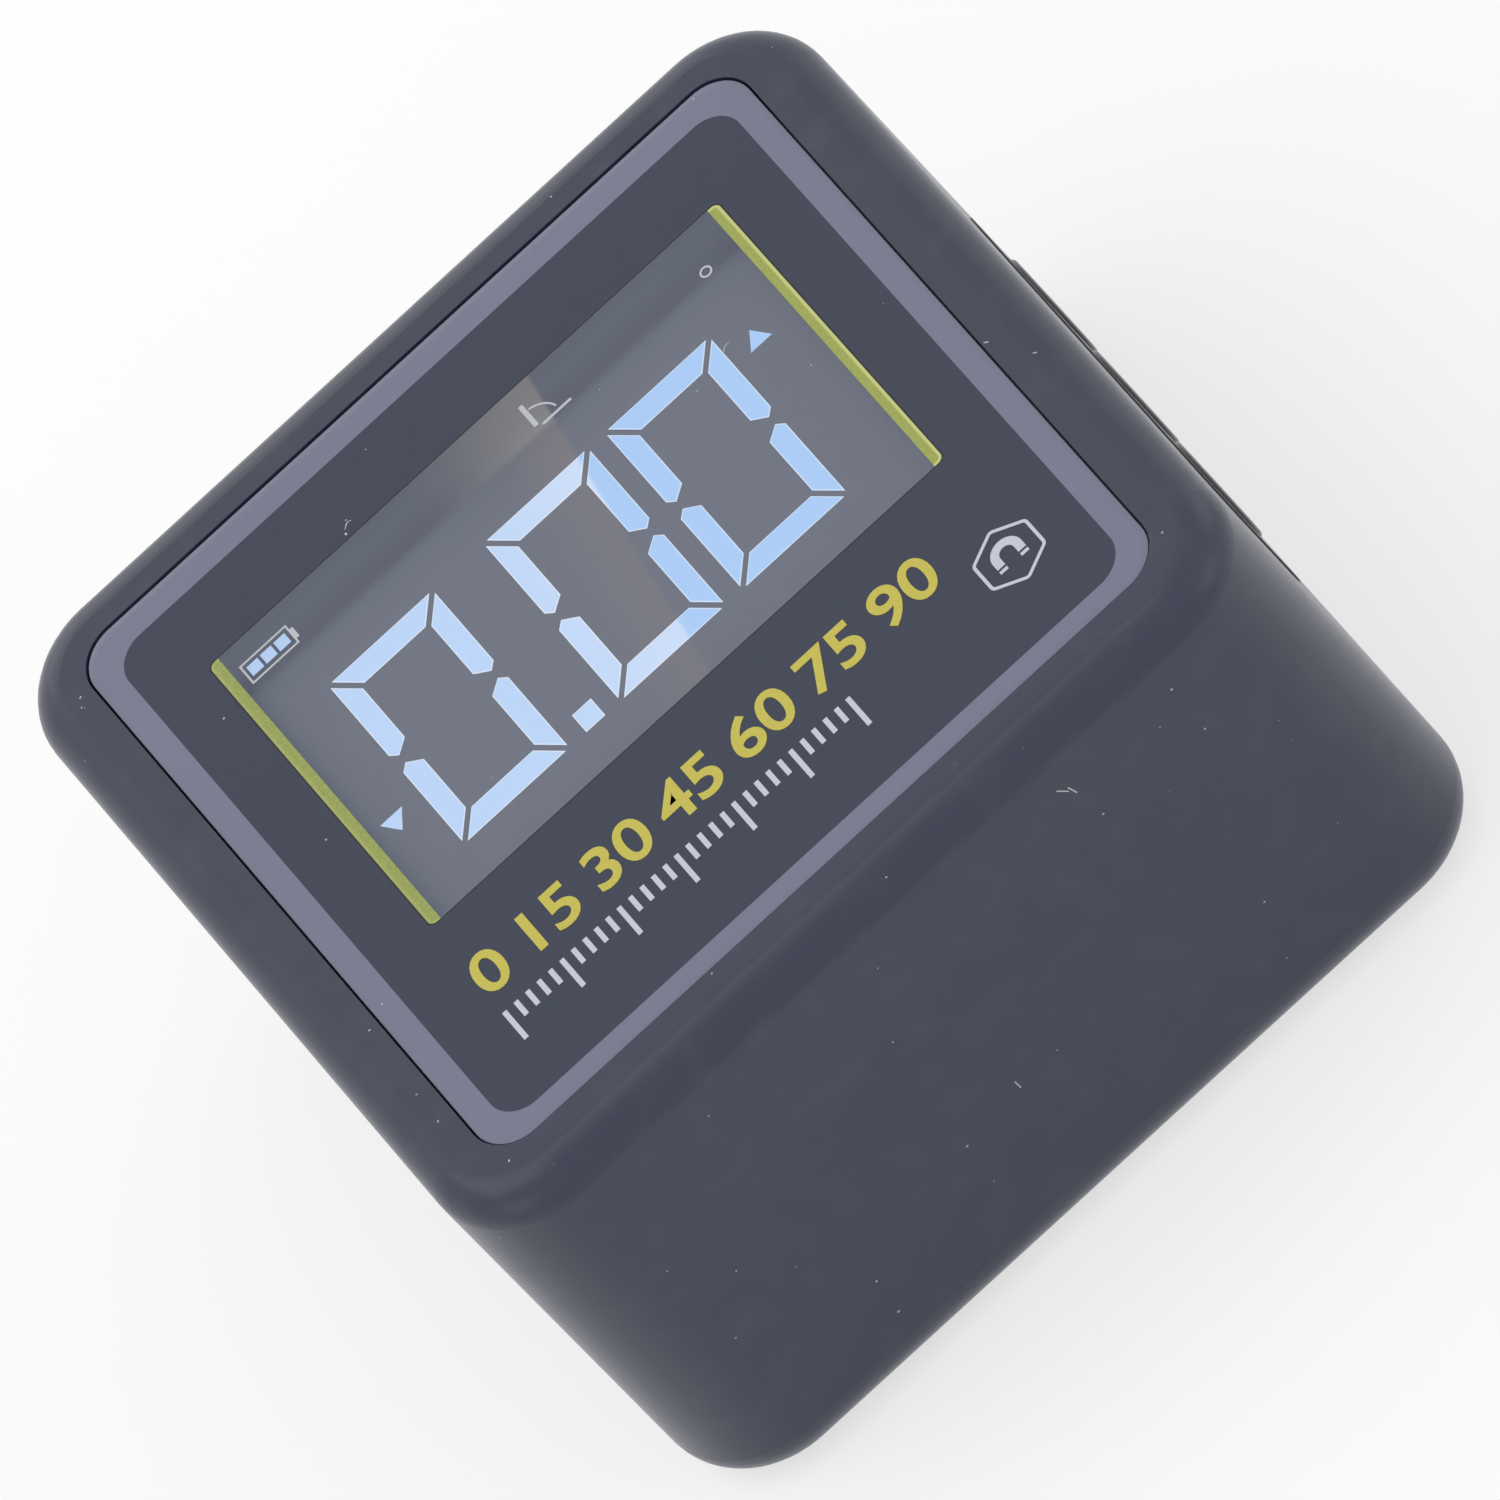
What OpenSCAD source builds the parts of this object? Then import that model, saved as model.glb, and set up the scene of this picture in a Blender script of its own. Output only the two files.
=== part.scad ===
// Pocket digital angle gauge: a rounded square box that lies on its back.
// +Z is the display's normal, +Y the top of the display, -Y the magnetic base, +X the key side.
// The origin is the middle of the rear face.

/* [Body] */
// Width across the left and right walls
body_w = 54; // [48:0.5:60]
// Height from the magnetic base to the top wall
body_h = 54; // [48:0.5:60]
// Depth from the rear face to the front face
body_d = 30; // [29:0.5:36]
// Radius of the four upright corners
corner_r = 6; // [5:0.25:8]
// Rounding of the front edges
front_r = 2.2; // [1:0.1:3]
// Rounding of the rear edges
rear_r = 3; // [1:0.25:3.5]
// Thickness of the four side walls
wall = 3.2; // [2.8:0.1:3.5]
// Thickness of the front wall
front_wall = 3.6; // [3.2:0.1:4]

/* [Display panel] */
// Width of the housing's rim at each side of the panel
rim_side = 3.9; // [3.5:0.1:5]
// Width of the housing's rim above and below the panel
rim_end = 3.6; // [3.5:0.1:5]
// Thickness of the clear panel
lens_t = 1.5; // [1:0.1:1.8]
// Corner radius of the clear panel
lens_r = 2.5; // [1.5:0.25:4]
// How far the panel lies below the front face
lens_recess = 0.1; // [0.05:0.05:0.4]
// Gap round the panel
lens_gap = 0.12; // [0.08:0.02:0.3]
// How far the adhesive ring stays inside the panel's edge
tape_inset = 0.5; // [0.3:0.05:0.8]
// Thickness of the adhesive ring under the panel
tape_t = 0.2; // [0.1:0.05:0.3]

/* [Display] */
// Distance of the visible window from each side of the panel
window_side = 5.85; // [5.6:0.05:8]
// Distance of the visible window from the top of the panel
window_above = 6.9; // [6.5:0.1:8]
// Distance of the visible window from the bottom of the panel
window_below = 15.3; // [14:0.1:18]
// How far the display cell reaches past the window at each side
lcd_side = 1.2; // [0.8:0.1:1.4]
// How far the display cell reaches past the window above and below
lcd_end = 2.2; // [1.8:0.1:2.4]
// Thickness of the display cell
lcd_t = 2.2; // [1.6:0.1:2.6]
// Air between the panel and the display cell
lcd_air = 0.35; // [0.2:0.05:0.5]
// Thickness of the light guide
light_t = 3.2; // [2:0.1:3.6]
// Wall of the frame that holds the display
frame_wall = 0.9; // [0.7:0.1:1]
// Width of the ledge that carries the light guide
frame_ledge = 1; // [0.8:0.1:1.4]
// Thickness of the elastic contact strip
strip_t = 1.6; // [1.2:0.1:2]
// Diameter of the frame's locating pegs
peg_d = 1.2; // [0.8:0.1:1.4]
// Distance of the locating pegs from the display cell's ends
peg_inset = 4; // [3:0.25:5]

/* [Keys] */
// Diameter of a push key
key_d = 6.7; // [5.5:0.1:7]
// Distance between two keys
key_pitch = 8.75; // [8.5:0.05:9.5]
// How far a key stands out of the wall
key_proud = 0.3; // [0.2:0.05:0.6]
// Travel of a key
key_travel = 0.3; // [0.2:0.05:0.4]
// Radius of a key's rolled rim
key_edge = 0.3; // [0.15:0.05:0.5]
// Depth of the dish in a key's face
key_dish = 0.12; // [0.05:0.01:0.2]
// Gap round a key
key_gap = 0.2; // [0.15:0.05:0.3]
// How far a key's flange reaches past the key
flange_lip = 0.65; // [0.4:0.05:0.7]
// Thickness of a key's flange
flange_t = 0.8; // [0.6:0.1:1]
// Gap between a key's flange and the wall
flange_gap = 0.15; // [0.1:0.05:0.3]
// Diameter of a key's stem
stem_d = 3.4; // [2.6:0.1:4]
// Length of the key strip along the wall
strip_len = 29; // [27:0.5:32]
// Width of the key strip
strip_w = 10; // [9:0.25:12]
// Depth of the key strip in the wall
strip_depth = 1; // [0.8:0.1:1.2]
// How far the key strip stands out of the wall
strip_proud = 0.1; // [0.05:0.05:0.2]
// Corner radius of the key strip
strip_r = 3; // [1:0.25:4]

/* [Switches] */
// Distance from the wall's inner face to a switch
switch_setback = 3.8; // [3.6:0.1:4.4]
// Depth of a switch, away from the wall
switch_l = 3.8; // [3:0.1:4.5]
// Width of a switch along the wall
switch_w = 6.4; // [5:0.1:7]
// Height of a switch below the board
switch_h = 4; // [3.6:0.1:4.6]
// Diameter of a switch plunger
plunger_d = 2.4; // [1.8:0.1:2.8]
// How far a plunger stands out of its switch
plunger_out = 1; // [0.8:0.1:1.2]
// How far a plunger reaches into its switch
plunger_in = 1; // [0.8:0.1:1.2]
// Gap round a plunger
plunger_gap = 0.15; // [0.1:0.05:0.2]

/* [Board] */
// Thickness of the circuit board
board_t = 1.6; // [1:0.2:2]
// Gap between the board and the walls
board_gap = 0.4; // [0.3:0.1:0.6]
// Diameter of the posts that carry the board
post_d = 3.6; // [3.2:0.1:3.8]
// Distance of the posts' axes from the top and base walls' inner faces
post_inset = 6.3; // [5.8:0.1:7.3]
// Gap between a post and the side wall
post_gap = 0.3; // [0.2:0.05:0.5]
// Diameter of every screw's shank
screw_d = 2; // [1.6:0.1:2.2]
// Diameter of a board screw's head
board_head_d = 3.6; // [3:0.1:3.8]
// Height of a board screw's head
board_head_t = 1.3; // [1:0.1:1.6]
// Length of a board screw below its head
board_screw_l = 5.5; // [4:0.25:6]
// Side of the controller chip
chip_w = 7; // [5:0.5:9]
// Thickness of the chips
chip_t = 1; // [0.8:0.1:1.4]
// Side of the tilt sensor
sensor_w = 5; // [3:0.5:6]
// How far the two chips lie to each side of the middle
chip_side = 6; // [5:0.5:8]
// How far the two chips lie below the middle
chip_low = 4; // [2:0.5:5]
// Length of a small component
part_l = 1.6; // [1:0.1:2]
// Width of a small component
part_w = 0.8; // [0.5:0.1:1.2]
// Distance between two small components in a row
part_pitch = 2.6; // [2.2:0.1:3]
// Distance between the rows of small components
part_row = 3; // [2:0.25:4]
// Height of the first row of small components above the middle
part_y = 5; // [4:0.25:6]

/* [Charging socket] */
// Width of the socket's shell
port_w = 8.94; // [8.6:0.02:9.2]
// Height of the socket's shell
port_h = 3.26; // [3.1:0.02:3.4]
// Length of the socket's shell
port_l = 7.3; // [6.5:0.1:9]
// Sheet thickness of the socket's shell
port_sheet = 0.3; // [0.2:0.02:0.35]
// How far the socket's mouth lies behind the wall's face
port_inset = 0.3; // [0.2:0.05:0.6]
// Width of the socket's tongue
tongue_w = 6.7; // [6:0.1:7]
// Length of the root that carries the tongue
root_l = 1.6; // [1.2:0.1:2]
// How far the tongue lies behind the socket's mouth
tongue_inset = 1; // [0.6:0.1:1.4]
// Thickness of the socket's tongue
tongue_t = 0.7; // [0.6:0.05:0.8]

/* [Battery] */
// Width of the cell
cell_w = 36; // [28:1:37]
// Height of the cell
cell_h = 28; // [20:1:29]
// Thickness of the cell
cell_t = 6.5; // [4:0.25:7]
// How far the foam pad stays inside the cell's edge
pad_inset = 2; // [1:0.25:3]
// Thickness of the foam pad under the cell
pad_t = 0.8; // [0.5:0.1:1.2]
// Diameter of a lead
lead_d = 1.1; // [0.8:0.1:1.4]
// Distance between the two leads
lead_pitch = 2.5; // [2:0.1:3]
// Bend radius of a lead
lead_bend = 1.5; // [1:0.1:2]
// Width of the cell's socket on the board
plug_w = 7.5; // [6:0.1:9]
// Depth of the cell's socket on the board
plug_l = 4.5; // [3.5:0.1:5]
// Height of the cell's socket on the board
plug_h = 5; // [4:0.1:6]

/* [Base magnets] */
// Number of magnets behind the base wall
magnet_count = 3; // [2:1:3]
// Distance of the outer magnets from the side walls' inner faces
magnet_side = 6.3; // [6:0.1:8]
// Gap between two magnets
magnet_gap = 2.5; // [1.5:0.1:4]
// Thickness of a magnet
magnet_t = 3; // [2.5:0.1:3.5]
// Thickness of the base wall in front of a magnet
magnet_skin = 1; // [0.6:0.1:1.2]
// Thickness of the steel strip behind the magnets
keeper_t = 1; // [0.6:0.1:1.2]

/* [Rear cover] */
// Thickness of the rear cover
cover_t = 2.5; // [2:0.1:3]
// Width of the ledge that the rear cover rests on
cover_ledge = 0.5; // [0.3:0.05:0.8]
// Gap round the rear cover
cover_gap = 0.15; // [0.1:0.05:0.25]
// Height of the cover's inner lip
lip_h = 2.5; // [1.5:0.1:3]
// Thickness of the lip and of the battery fence
lip_t = 1.2; // [1:0.1:1.5]
// Gap between the battery fence and the cell
fence_gap = 0.4; // [0.2:0.05:0.6]
// Diameter of the bosses that take the cover's screws
boss_d = 5.6; // [5:0.1:6]
// Height of those bosses
boss_h = 10; // [8.5:0.25:10.5]
// Distance of those bosses from the walls' outer faces
boss_inset = 5.8; // [5.6:0.1:6]
// Diameter of a cover screw's head
cover_head_d = 3.8; // [3:0.1:4]
// Height of a cover screw's head
cover_head_t = 1.3; // [1:0.1:1.4]
// How far a cover screw's head lies below the rear face
cover_head_sink = 0.2; // [0.1:0.05:0.3]
// Length of a cover screw below its head
cover_screw_l = 7.5; // [5:0.25:8.5]

/* [Hidden] */
$fn = 64;
// Overshoot of cuts
cut = 1;
// Fit of screws and glued pieces in their holes
fit = 0.1;
// Spare room between pieces that must not touch
room = 0.4;
// How much deeper a board screw's hole is than its shank
hole_spare = 1;
// Inner faces of the walls
inner_x = body_w / 2 - wall;
inner_y = body_h / 2 - wall;
inner_r = corner_r - wall;
front_in = body_d - front_wall;
// Stack of the display, from the panel down to the board
lens_top = body_d - lens_recess;
lens_low = lens_top - lens_t;
pocket_z = lens_low - tape_t;
lcd_top = lens_low - lcd_air;
lcd_low = lcd_top - lcd_t;
light_low = lcd_low - light_t;
lens_w = body_w - 2 * rim_side;
lens_h = body_h - 2 * rim_end;
window_w = lens_w - 2 * window_side;
window_h = lens_h - window_above - window_below;
window_y = (window_below - window_above) / 2;
lcd_w = window_w + 2 * lcd_side;
lcd_h = window_h + 2 * lcd_end;
lcd_r = 0.4;
lcd_gap = 0.3;
frame_gap = 0.15;
frame_r = 1;
frame_w = lcd_w + 2 * (frame_gap + frame_wall);
frame_h = lcd_h + 2 * (frame_gap + frame_wall);
frame_top = front_in - room / 2;
// The contact strip stands along the lower edge of the display cell
strip_y = window_y - lcd_h / 2 + room + strip_t / 2;
light_from = strip_y + strip_t / 2 + room;
// Keys at mid depth, with their switches under the board
key_z = body_d / 2;
board_z = key_z + switch_h / 2;
board_top = board_z + board_t;
key_y = [key_pitch, 0, -key_pitch];
switch_x = inner_x - switch_setback;
plunger_x = switch_x + plunger_out;
flange_x = inner_x - flange_gap - flange_t;
key_x = body_w / 2 + key_proud;
// The dish is a shallow cap of a large ball that meets the face inside the rolled rim
dish_reach = key_d / 2 - 1.5 * key_edge;
dish_r = (pow(dish_reach, 2) + pow(key_dish, 2)) / (2 * key_dish);
// Board outline: clear of the keys at the right and of the magnets at the base
keeper_y = -body_h / 2 + magnet_skin + magnet_t;
board_x = inner_x - board_gap;
board_low = keeper_y + keeper_t + 1.5 * room;
board_high = inner_y - board_gap;
notch_x = switch_x + 1.5 * room;
notch_y = key_pitch + key_d / 2 + flange_lip + 2 * room;
post_x = inner_x - post_d / 2 - post_gap;
post_y = inner_y - post_inset;
posts = [for (sx = [-1, 1], sy = [-1, 1]) [sx * post_x, sy * post_y]];
peg_x = lcd_w / 2 - frame_ledge / 2 + room;
peg_y = lcd_h / 2 - peg_inset;
// Rear cover, its bosses and the cell on it
cover_w = 2 * (inner_x + cover_ledge);
cover_h = 2 * (inner_y + cover_ledge);
cover_r = inner_r + cover_ledge;
bosses = [for (sx = [-1, 1], sy = [-1, 1])
  [sx * (body_w / 2 - boss_inset), sy * (body_h / 2 - boss_inset)]];
cell_z = cover_t + pad_t;
lead_z = cell_z + cell_t / 2;
plug_y = cell_h / 2 + fence_gap + lip_t + lead_bend + lead_d + room;
plug_z = board_z - plug_h;
// Charging socket under the board's left edge
port_x = -body_w / 2 + port_inset;
port_z = board_z - port_h / 2;
port_r = 1.5;
port_gap = 0.2;
cell_r = 1.5;
pad_r = 1;
fence_r = 1;
// Row of magnets across the base wall
keeper_w = 2 * (inner_x - magnet_side);
magnet_d = (keeper_w - (magnet_count - 1) * magnet_gap) / magnet_count;
magnet_pitch = magnet_d + magnet_gap;
magnet_z = body_d / 2;
magnets = [for (i = [0:magnet_count - 1]) (i - (magnet_count - 1) / 2) * magnet_pitch];

// Flat rectangle with round corners
module rounded(w, h, r) {
  square([w - 2 * r, h], center = true);
  square([w, h - 2 * r], center = true);
  for (sx = [-1, 1], sy = [-1, 1])
    translate([sx * (w / 2 - r), sy * (h / 2 - r)])
      circle(r);
}

// Plate with round corners that rises from height z
module plate(w, h, r, z, t) {
  translate([0, 0, z])
    linear_extrude(t)
      rounded(w, h, r);
}

// Quarter of a disc
module quarter(r) {
  intersection() {
    circle(r);
    square(r);
  }
}

// Layer whose upper edge is rounded by e all the way round, from height 0 to e
module rounded_cap(w, h, r, e) {
  linear_extrude(e) {
    square([w - 2 * e, h - 2 * r], center = true);
    square([w - 2 * r, h - 2 * e], center = true);
  }
  for (side = [0, 1]) mirror([side, 0, 0])
    translate([w / 2 - e, h / 2 - r, 0])
      rotate([90, 0, 0])
        linear_extrude(h - 2 * r)
          quarter(e);
  for (side = [0, 1]) mirror([0, side, 0])
    translate([-w / 2 + r, h / 2 - e, 0])
      rotate([90, 0, 90])
        linear_extrude(w - 2 * r)
          quarter(e);
  for (mx = [0, 1], my = [0, 1]) mirror([mx, 0, 0]) mirror([0, my, 0])
    translate([w / 2 - r, h / 2 - r, 0])
      rotate_extrude(angle = 90) {
        square([r - e, e]);
        translate([r - e, 0]) quarter(e);
      }
}

// Outer form of the box, with its front and rear edges rounded
module outer_form() {
  plate(body_w, body_h, corner_r, rear_r, body_d - front_r - rear_r);
  translate([0, 0, body_d - front_r])
    rounded_cap(body_w, body_h, corner_r, front_r);
  translate([0, 0, rear_r])
    mirror([0, 0, 1])
      rounded_cap(body_w, body_h, corner_r, rear_r);
}

// Solid or cut that runs along +X from position x, drawn in the wall's own Y and Z
module along_x(x, l) {
  translate([x, 0, 0])
    rotate([90, 0, 90])
      linear_extrude(l)
        children();
}

// Cylinder along +X at a place y on the key row
module key_row_cylinder(y, x, l, d) {
  translate([x, y, key_z])
    rotate([0, 90, 0])
      cylinder(h = l, d = d);
}

module port_outline(grow) {
  translate([0, port_z])
    rounded(port_w + 2 * grow, port_h + 2 * grow, port_r + grow);
}

module strip_outline(grow) {
  translate([0, key_z])
    rounded(strip_len + 2 * grow, strip_w + 2 * grow, strip_r + grow);
}

// Everything that is cut out of the moulding, apart from the screw holes
module housing_cuts() {
  plate(2 * inner_x, 2 * inner_y, inner_r, cover_t - fit, front_in - cover_t + fit);
  plate(cover_w, cover_h, cover_r, -cut, cover_t + cut);
  plate(lens_w + 2 * lens_gap, lens_h + 2 * lens_gap, lens_r + lens_gap,
    pocket_z, body_d - pocket_z + cut);
  translate([0, window_y, 0])
    plate(lcd_w + 2 * lcd_gap, lcd_h + 2 * lcd_gap, frame_r, front_in - cut, front_wall);
  along_x(body_w / 2 - strip_depth, strip_depth + cut)
    strip_outline(lens_gap);
  for (y = key_y)
    key_row_cylinder(y, inner_x - cut, wall + 2 * cut, key_d + 2 * key_gap);
  along_x(-body_w / 2 - cut, wall + 2 * cut)
    port_outline(port_gap);
  for (x = magnets)
    translate([x, -body_h / 2 + magnet_skin, magnet_z])
      rotate([-90, 0, 0])
        cylinder(h = wall - magnet_skin + cut, d = magnet_d + 2 * fit);
}

module housing() {
  color([0.29, 0.31, 0.35])
    difference() {
      union() {
        difference() {
          outer_form();
          housing_cuts();
        }
        for (p = bosses)
          intersection() {
            translate([p[0], p[1], cover_t]) cylinder(h = boss_h, d = boss_d);
            plate(body_w - wall, body_h - wall, corner_r - wall / 2, 0, body_d);
          }
        for (p = posts)
          translate([p[0], p[1], board_top])
            cylinder(h = front_in - board_top + fit, d = post_d);
      }
      for (p = bosses)
        translate([p[0], p[1], cover_t - cut])
          cylinder(h = cover_screw_l + cut, d = screw_d + fit);
      for (p = posts)
        translate([p[0], p[1], board_top - cut])
          cylinder(h = board_screw_l + cut, d = screw_d + fit);
    }
}

// Lip on the cover's inner face that locates it in the housing, open at the bosses
module cover_lip() {
  lip_w = 2 * (inner_x - cover_gap);
  lip_l = 2 * (inner_y - cover_gap);
  lip_r = inner_r - cover_gap;
  difference() {
    plate(lip_w, lip_l, lip_r, cover_t - fit, lip_h + fit);
    plate(lip_w - 2 * lip_t, lip_l - 2 * lip_t, lip_r - lip_t, cover_t - cut, lip_h + 2 * cut);
    for (p = bosses)
      translate([p[0], p[1], cover_t])
        cylinder(h = lip_h + cut, d = boss_d + 4 * cover_gap);
  }
}

// Fence on the cover's inner face that keeps the cell in place
module cell_fence() {
  nest_w = cell_w + 2 * fence_gap;
  nest_h = cell_h + 2 * fence_gap;
  difference() {
    plate(nest_w + 2 * lip_t, nest_h + 2 * lip_t, fence_r + lip_t, cover_t - fit, lip_h + fit);
    plate(nest_w, nest_h, fence_r, cover_t, lip_h + cut);
  }
}

module rear_cover() {
  color([0.27, 0.29, 0.33])
    difference() {
      union() {
        plate(cover_w - 2 * cover_gap, cover_h - 2 * cover_gap, cover_r - cover_gap, 0, cover_t);
        cover_lip();
        cell_fence();
      }
      for (p = bosses) translate([p[0], p[1], -cut]) {
        cylinder(h = cover_t + 2 * cut, d = screw_d + 2 * fit);
        cylinder(h = cut + cover_head_sink + cover_head_t, d = cover_head_d + 2 * fit);
      }
    }
}

// Screw that points along +Z, with its head's lower face at height 0 and a cross slot in it
module screw(head_d, head_t, l) {
  difference() {
    union() {
      cylinder(h = head_t, d = head_d);
      translate([0, 0, head_t - fit]) cylinder(h = l + fit, d = screw_d);
    }
    for (turn = [0, 90])
      rotate(turn)
        translate([0, 0, head_t / 4 - cut / 2])
          cube([head_d * 0.6, head_d * 0.16, head_t / 2 + cut], center = true);
  }
}

module rear_screws() {
  color([0.6, 0.61, 0.63])
    for (p = bosses)
      translate([p[0], p[1], cover_head_sink])
        screw(cover_head_d, cover_head_t, cover_screw_l);
}

module display_lens() {
  color([0.32, 0.33, 0.38])
    plate(lens_w, lens_h, lens_r, lens_low, lens_t);
}

module lens_tape() {
  color([0.1, 0.1, 0.11])
    difference() {
      plate(lens_w - 2 * tape_inset, lens_h - 2 * tape_inset, lens_r - tape_inset, pocket_z, tape_t);
      translate([0, window_y, 0])
        plate(lcd_w + 2 * lcd_gap + room, lcd_h + 2 * lcd_gap + room, frame_r + room / 2,
          pocket_z - cut, tape_t + 2 * cut);
    }
}

module lcd_glass() {
  color([0.45, 0.46, 0.5])
    translate([0, window_y, 0])
      plate(lcd_w, lcd_h, lcd_r, lcd_low, lcd_t);
}

module lcd_backlight() {
  light_to = window_y + lcd_h / 2;
  color([0.9, 0.94, 1])
    translate([-lcd_w / 2, light_from, light_low])
      cube([lcd_w, light_to - light_from, light_t]);
}

module lcd_frame() {
  color([0.88, 0.88, 0.86]) {
    translate([0, window_y, 0]) {
      difference() {
        plate(frame_w, frame_h, frame_r, board_top, frame_top - board_top);
        plate(lcd_w + 2 * frame_gap, lcd_h + 2 * frame_gap, lcd_r + frame_gap, light_low, frame_top);
        translate([-lcd_w / 2 + frame_ledge, -lcd_h / 2 - frame_gap, board_top - cut])
          cube([lcd_w - 2 * frame_ledge, lcd_h + frame_gap - frame_ledge, frame_top]);
      }
      for (sx = [-1, 1], sy = [-1, 1])
        translate([sx * peg_x, sy * peg_y, board_z])
          cylinder(h = board_t + fit, d = peg_d);
    }
  }
}

module lcd_strip() {
  color([0.85, 0.6, 0.62])
    translate([-lcd_w / 2 + frame_ledge + room, strip_y - strip_t / 2, board_top])
      cube([lcd_w - 2 * (frame_ledge + room), strip_t, lcd_low - board_top]);
}

module main_board() {
  color([0.1, 0.35, 0.2])
    difference() {
      translate([-board_x, board_low, board_z])
        cube([2 * board_x, board_high - board_low, board_t]);
      translate([notch_x, -notch_y, board_z - cut])
        cube([board_x, 2 * notch_y, board_t + 2 * cut]);
      for (p = posts)
        translate([p[0], p[1], board_z - cut])
          cylinder(h = board_t + 2 * cut, d = screw_d + 2 * fit);
      for (sx = [-1, 1], sy = [-1, 1])
        translate([sx * peg_x, window_y + sy * peg_y, board_z - cut])
          cylinder(h = board_t + 2 * cut, d = peg_d + 2 * fit);
    }
}

// Chip soldered under the board, at a place given by its middle
module chip(x, y, w, h) {
  translate([x - w / 2, y - h / 2, board_z - chip_t])
    cube([w, h, chip_t]);
}

module controller_chip() {
  color([0.08, 0.08, 0.09]) chip(-chip_side, -chip_low, chip_w, chip_w);
}

module tilt_sensor() {
  color([0.12, 0.12, 0.13]) chip(chip_side, -chip_low, sensor_w, sensor_w);
}

module board_parts() {
  color([0.55, 0.45, 0.35])
    for (column = [-3:3], row = [0, 1])
      chip(column * part_pitch, part_y + row * part_row, part_l, part_w);
}

module board_screws() {
  color([0.6, 0.61, 0.63])
    for (p = posts)
      translate([p[0], p[1], board_z - board_head_t])
        screw(board_head_d, board_head_t, board_t + board_screw_l - hole_spare);
}

module switch(y) {
  color([0.1, 0.1, 0.11])
    difference() {
      translate([switch_x - switch_l, y - switch_w / 2, key_z - switch_h / 2])
        cube([switch_l, switch_w, switch_h]);
      key_row_cylinder(y, switch_x - plunger_in - 2 * key_travel,
        plunger_in + 2 * key_travel + cut, plunger_d + 2 * plunger_gap);
    }
}

module plunger(y) {
  color([0.8, 0.78, 0.72])
    key_row_cylinder(y, switch_x - plunger_in, plunger_in + plunger_out, plunger_d);
}

// Key: a stem on the plunger, a flange behind the wall and the cap that goes through it
module key(y) {
  color([0.12, 0.12, 0.13])
    translate([0, y, key_z])
      rotate([0, 90, 0])
        difference() {
          rotate_extrude() {
            polygon([
              [0, plunger_x],
              [stem_d / 2, plunger_x],
              [stem_d / 2, flange_x],
              [key_d / 2 + flange_lip, flange_x],
              [key_d / 2 + flange_lip, flange_x + flange_t],
              [key_d / 2, flange_x + flange_t],
              [key_d / 2, key_x - key_edge],
              [key_d / 2 - key_edge, key_x - key_edge],
              [key_d / 2 - key_edge, key_x],
              [0, key_x]
            ]);
            translate([key_d / 2 - key_edge, key_x - key_edge])
              quarter(key_edge);
          }
          translate([0, 0, key_x + dish_r - key_dish])
            sphere(r = dish_r);
        }
}

module power_switch() { switch(key_y[0]); }
module hold_switch() { switch(key_y[1]); }
module zero_switch() { switch(key_y[2]); }
module power_plunger() { plunger(key_y[0]); }
module hold_plunger() { plunger(key_y[1]); }
module zero_plunger() { plunger(key_y[2]); }
module power_key() { key(key_y[0]); }
module hold_key() { key(key_y[1]); }
module zero_key() { key(key_y[2]); }

module key_panel() {
  color([0.14, 0.14, 0.16])
    difference() {
      along_x(body_w / 2 - strip_depth, strip_depth + strip_proud)
        strip_outline(0);
      for (y = key_y)
        key_row_cylinder(y, body_w / 2 - strip_depth - cut,
          strip_depth + strip_proud + 2 * cut, key_d + 2 * key_gap);
    }
}

module battery_cell() {
  color([0.75, 0.76, 0.78])
    plate(cell_w, cell_h, cell_r, cell_z, cell_t);
}

module battery_tape() {
  color([0.2, 0.2, 0.2])
    plate(cell_w - 2 * pad_inset, cell_h - 2 * pad_inset, pad_r, cover_t, pad_t);
}

module battery_socket() {
  color([0.92, 0.9, 0.84])
    translate([-plug_w / 2, plug_y - plug_l / 2, plug_z])
      cube([plug_w, plug_l, plug_h]);
}

// Lead that leaves the cell's end, turns up and ends at the socket
module lead(x) {
  bend_y = plug_y - lead_bend;
  translate([x, cell_h / 2, lead_z])
    rotate([-90, 0, 0]) cylinder(h = bend_y - cell_h / 2, d = lead_d);
  translate([x, bend_y, lead_z + lead_bend])
    rotate([0, 90, 0])
      rotate_extrude(angle = 90)
        translate([lead_bend, 0]) circle(d = lead_d);
  translate([x, plug_y, lead_z + lead_bend])
    cylinder(h = plug_z - lead_z - lead_bend, d = lead_d);
}

module battery_leads() {
  color([0.7, 0.1, 0.1])
    for (side = [-1, 1])
      lead(side * lead_pitch / 2);
}

module charge_shell() {
  color([0.75, 0.76, 0.78])
    along_x(port_x, port_l)
      difference() {
        port_outline(0);
        port_outline(-port_sheet);
      }
}

module charge_tongue() {
  color([0.1, 0.1, 0.11]) {
    along_x(port_x + port_l - root_l, root_l)
      port_outline(-port_sheet - fit / 2);
    along_x(port_x + tongue_inset, port_l - root_l - tongue_inset)
      translate([0, port_z])
        square([tongue_w, tongue_t], center = true);
  }
}

module base_magnets() {
  color([0.7, 0.71, 0.73])
    for (x = magnets)
      translate([x, -body_h / 2 + magnet_skin, magnet_z])
        rotate([-90, 0, 0])
          cylinder(h = magnet_t, d = magnet_d);
}

module magnet_keeper() {
  color([0.55, 0.56, 0.58])
    translate([-keeper_w / 2, keeper_y, magnet_z - magnet_d / 2])
      cube([keeper_w, keeper_t, magnet_d]);
}

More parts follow.
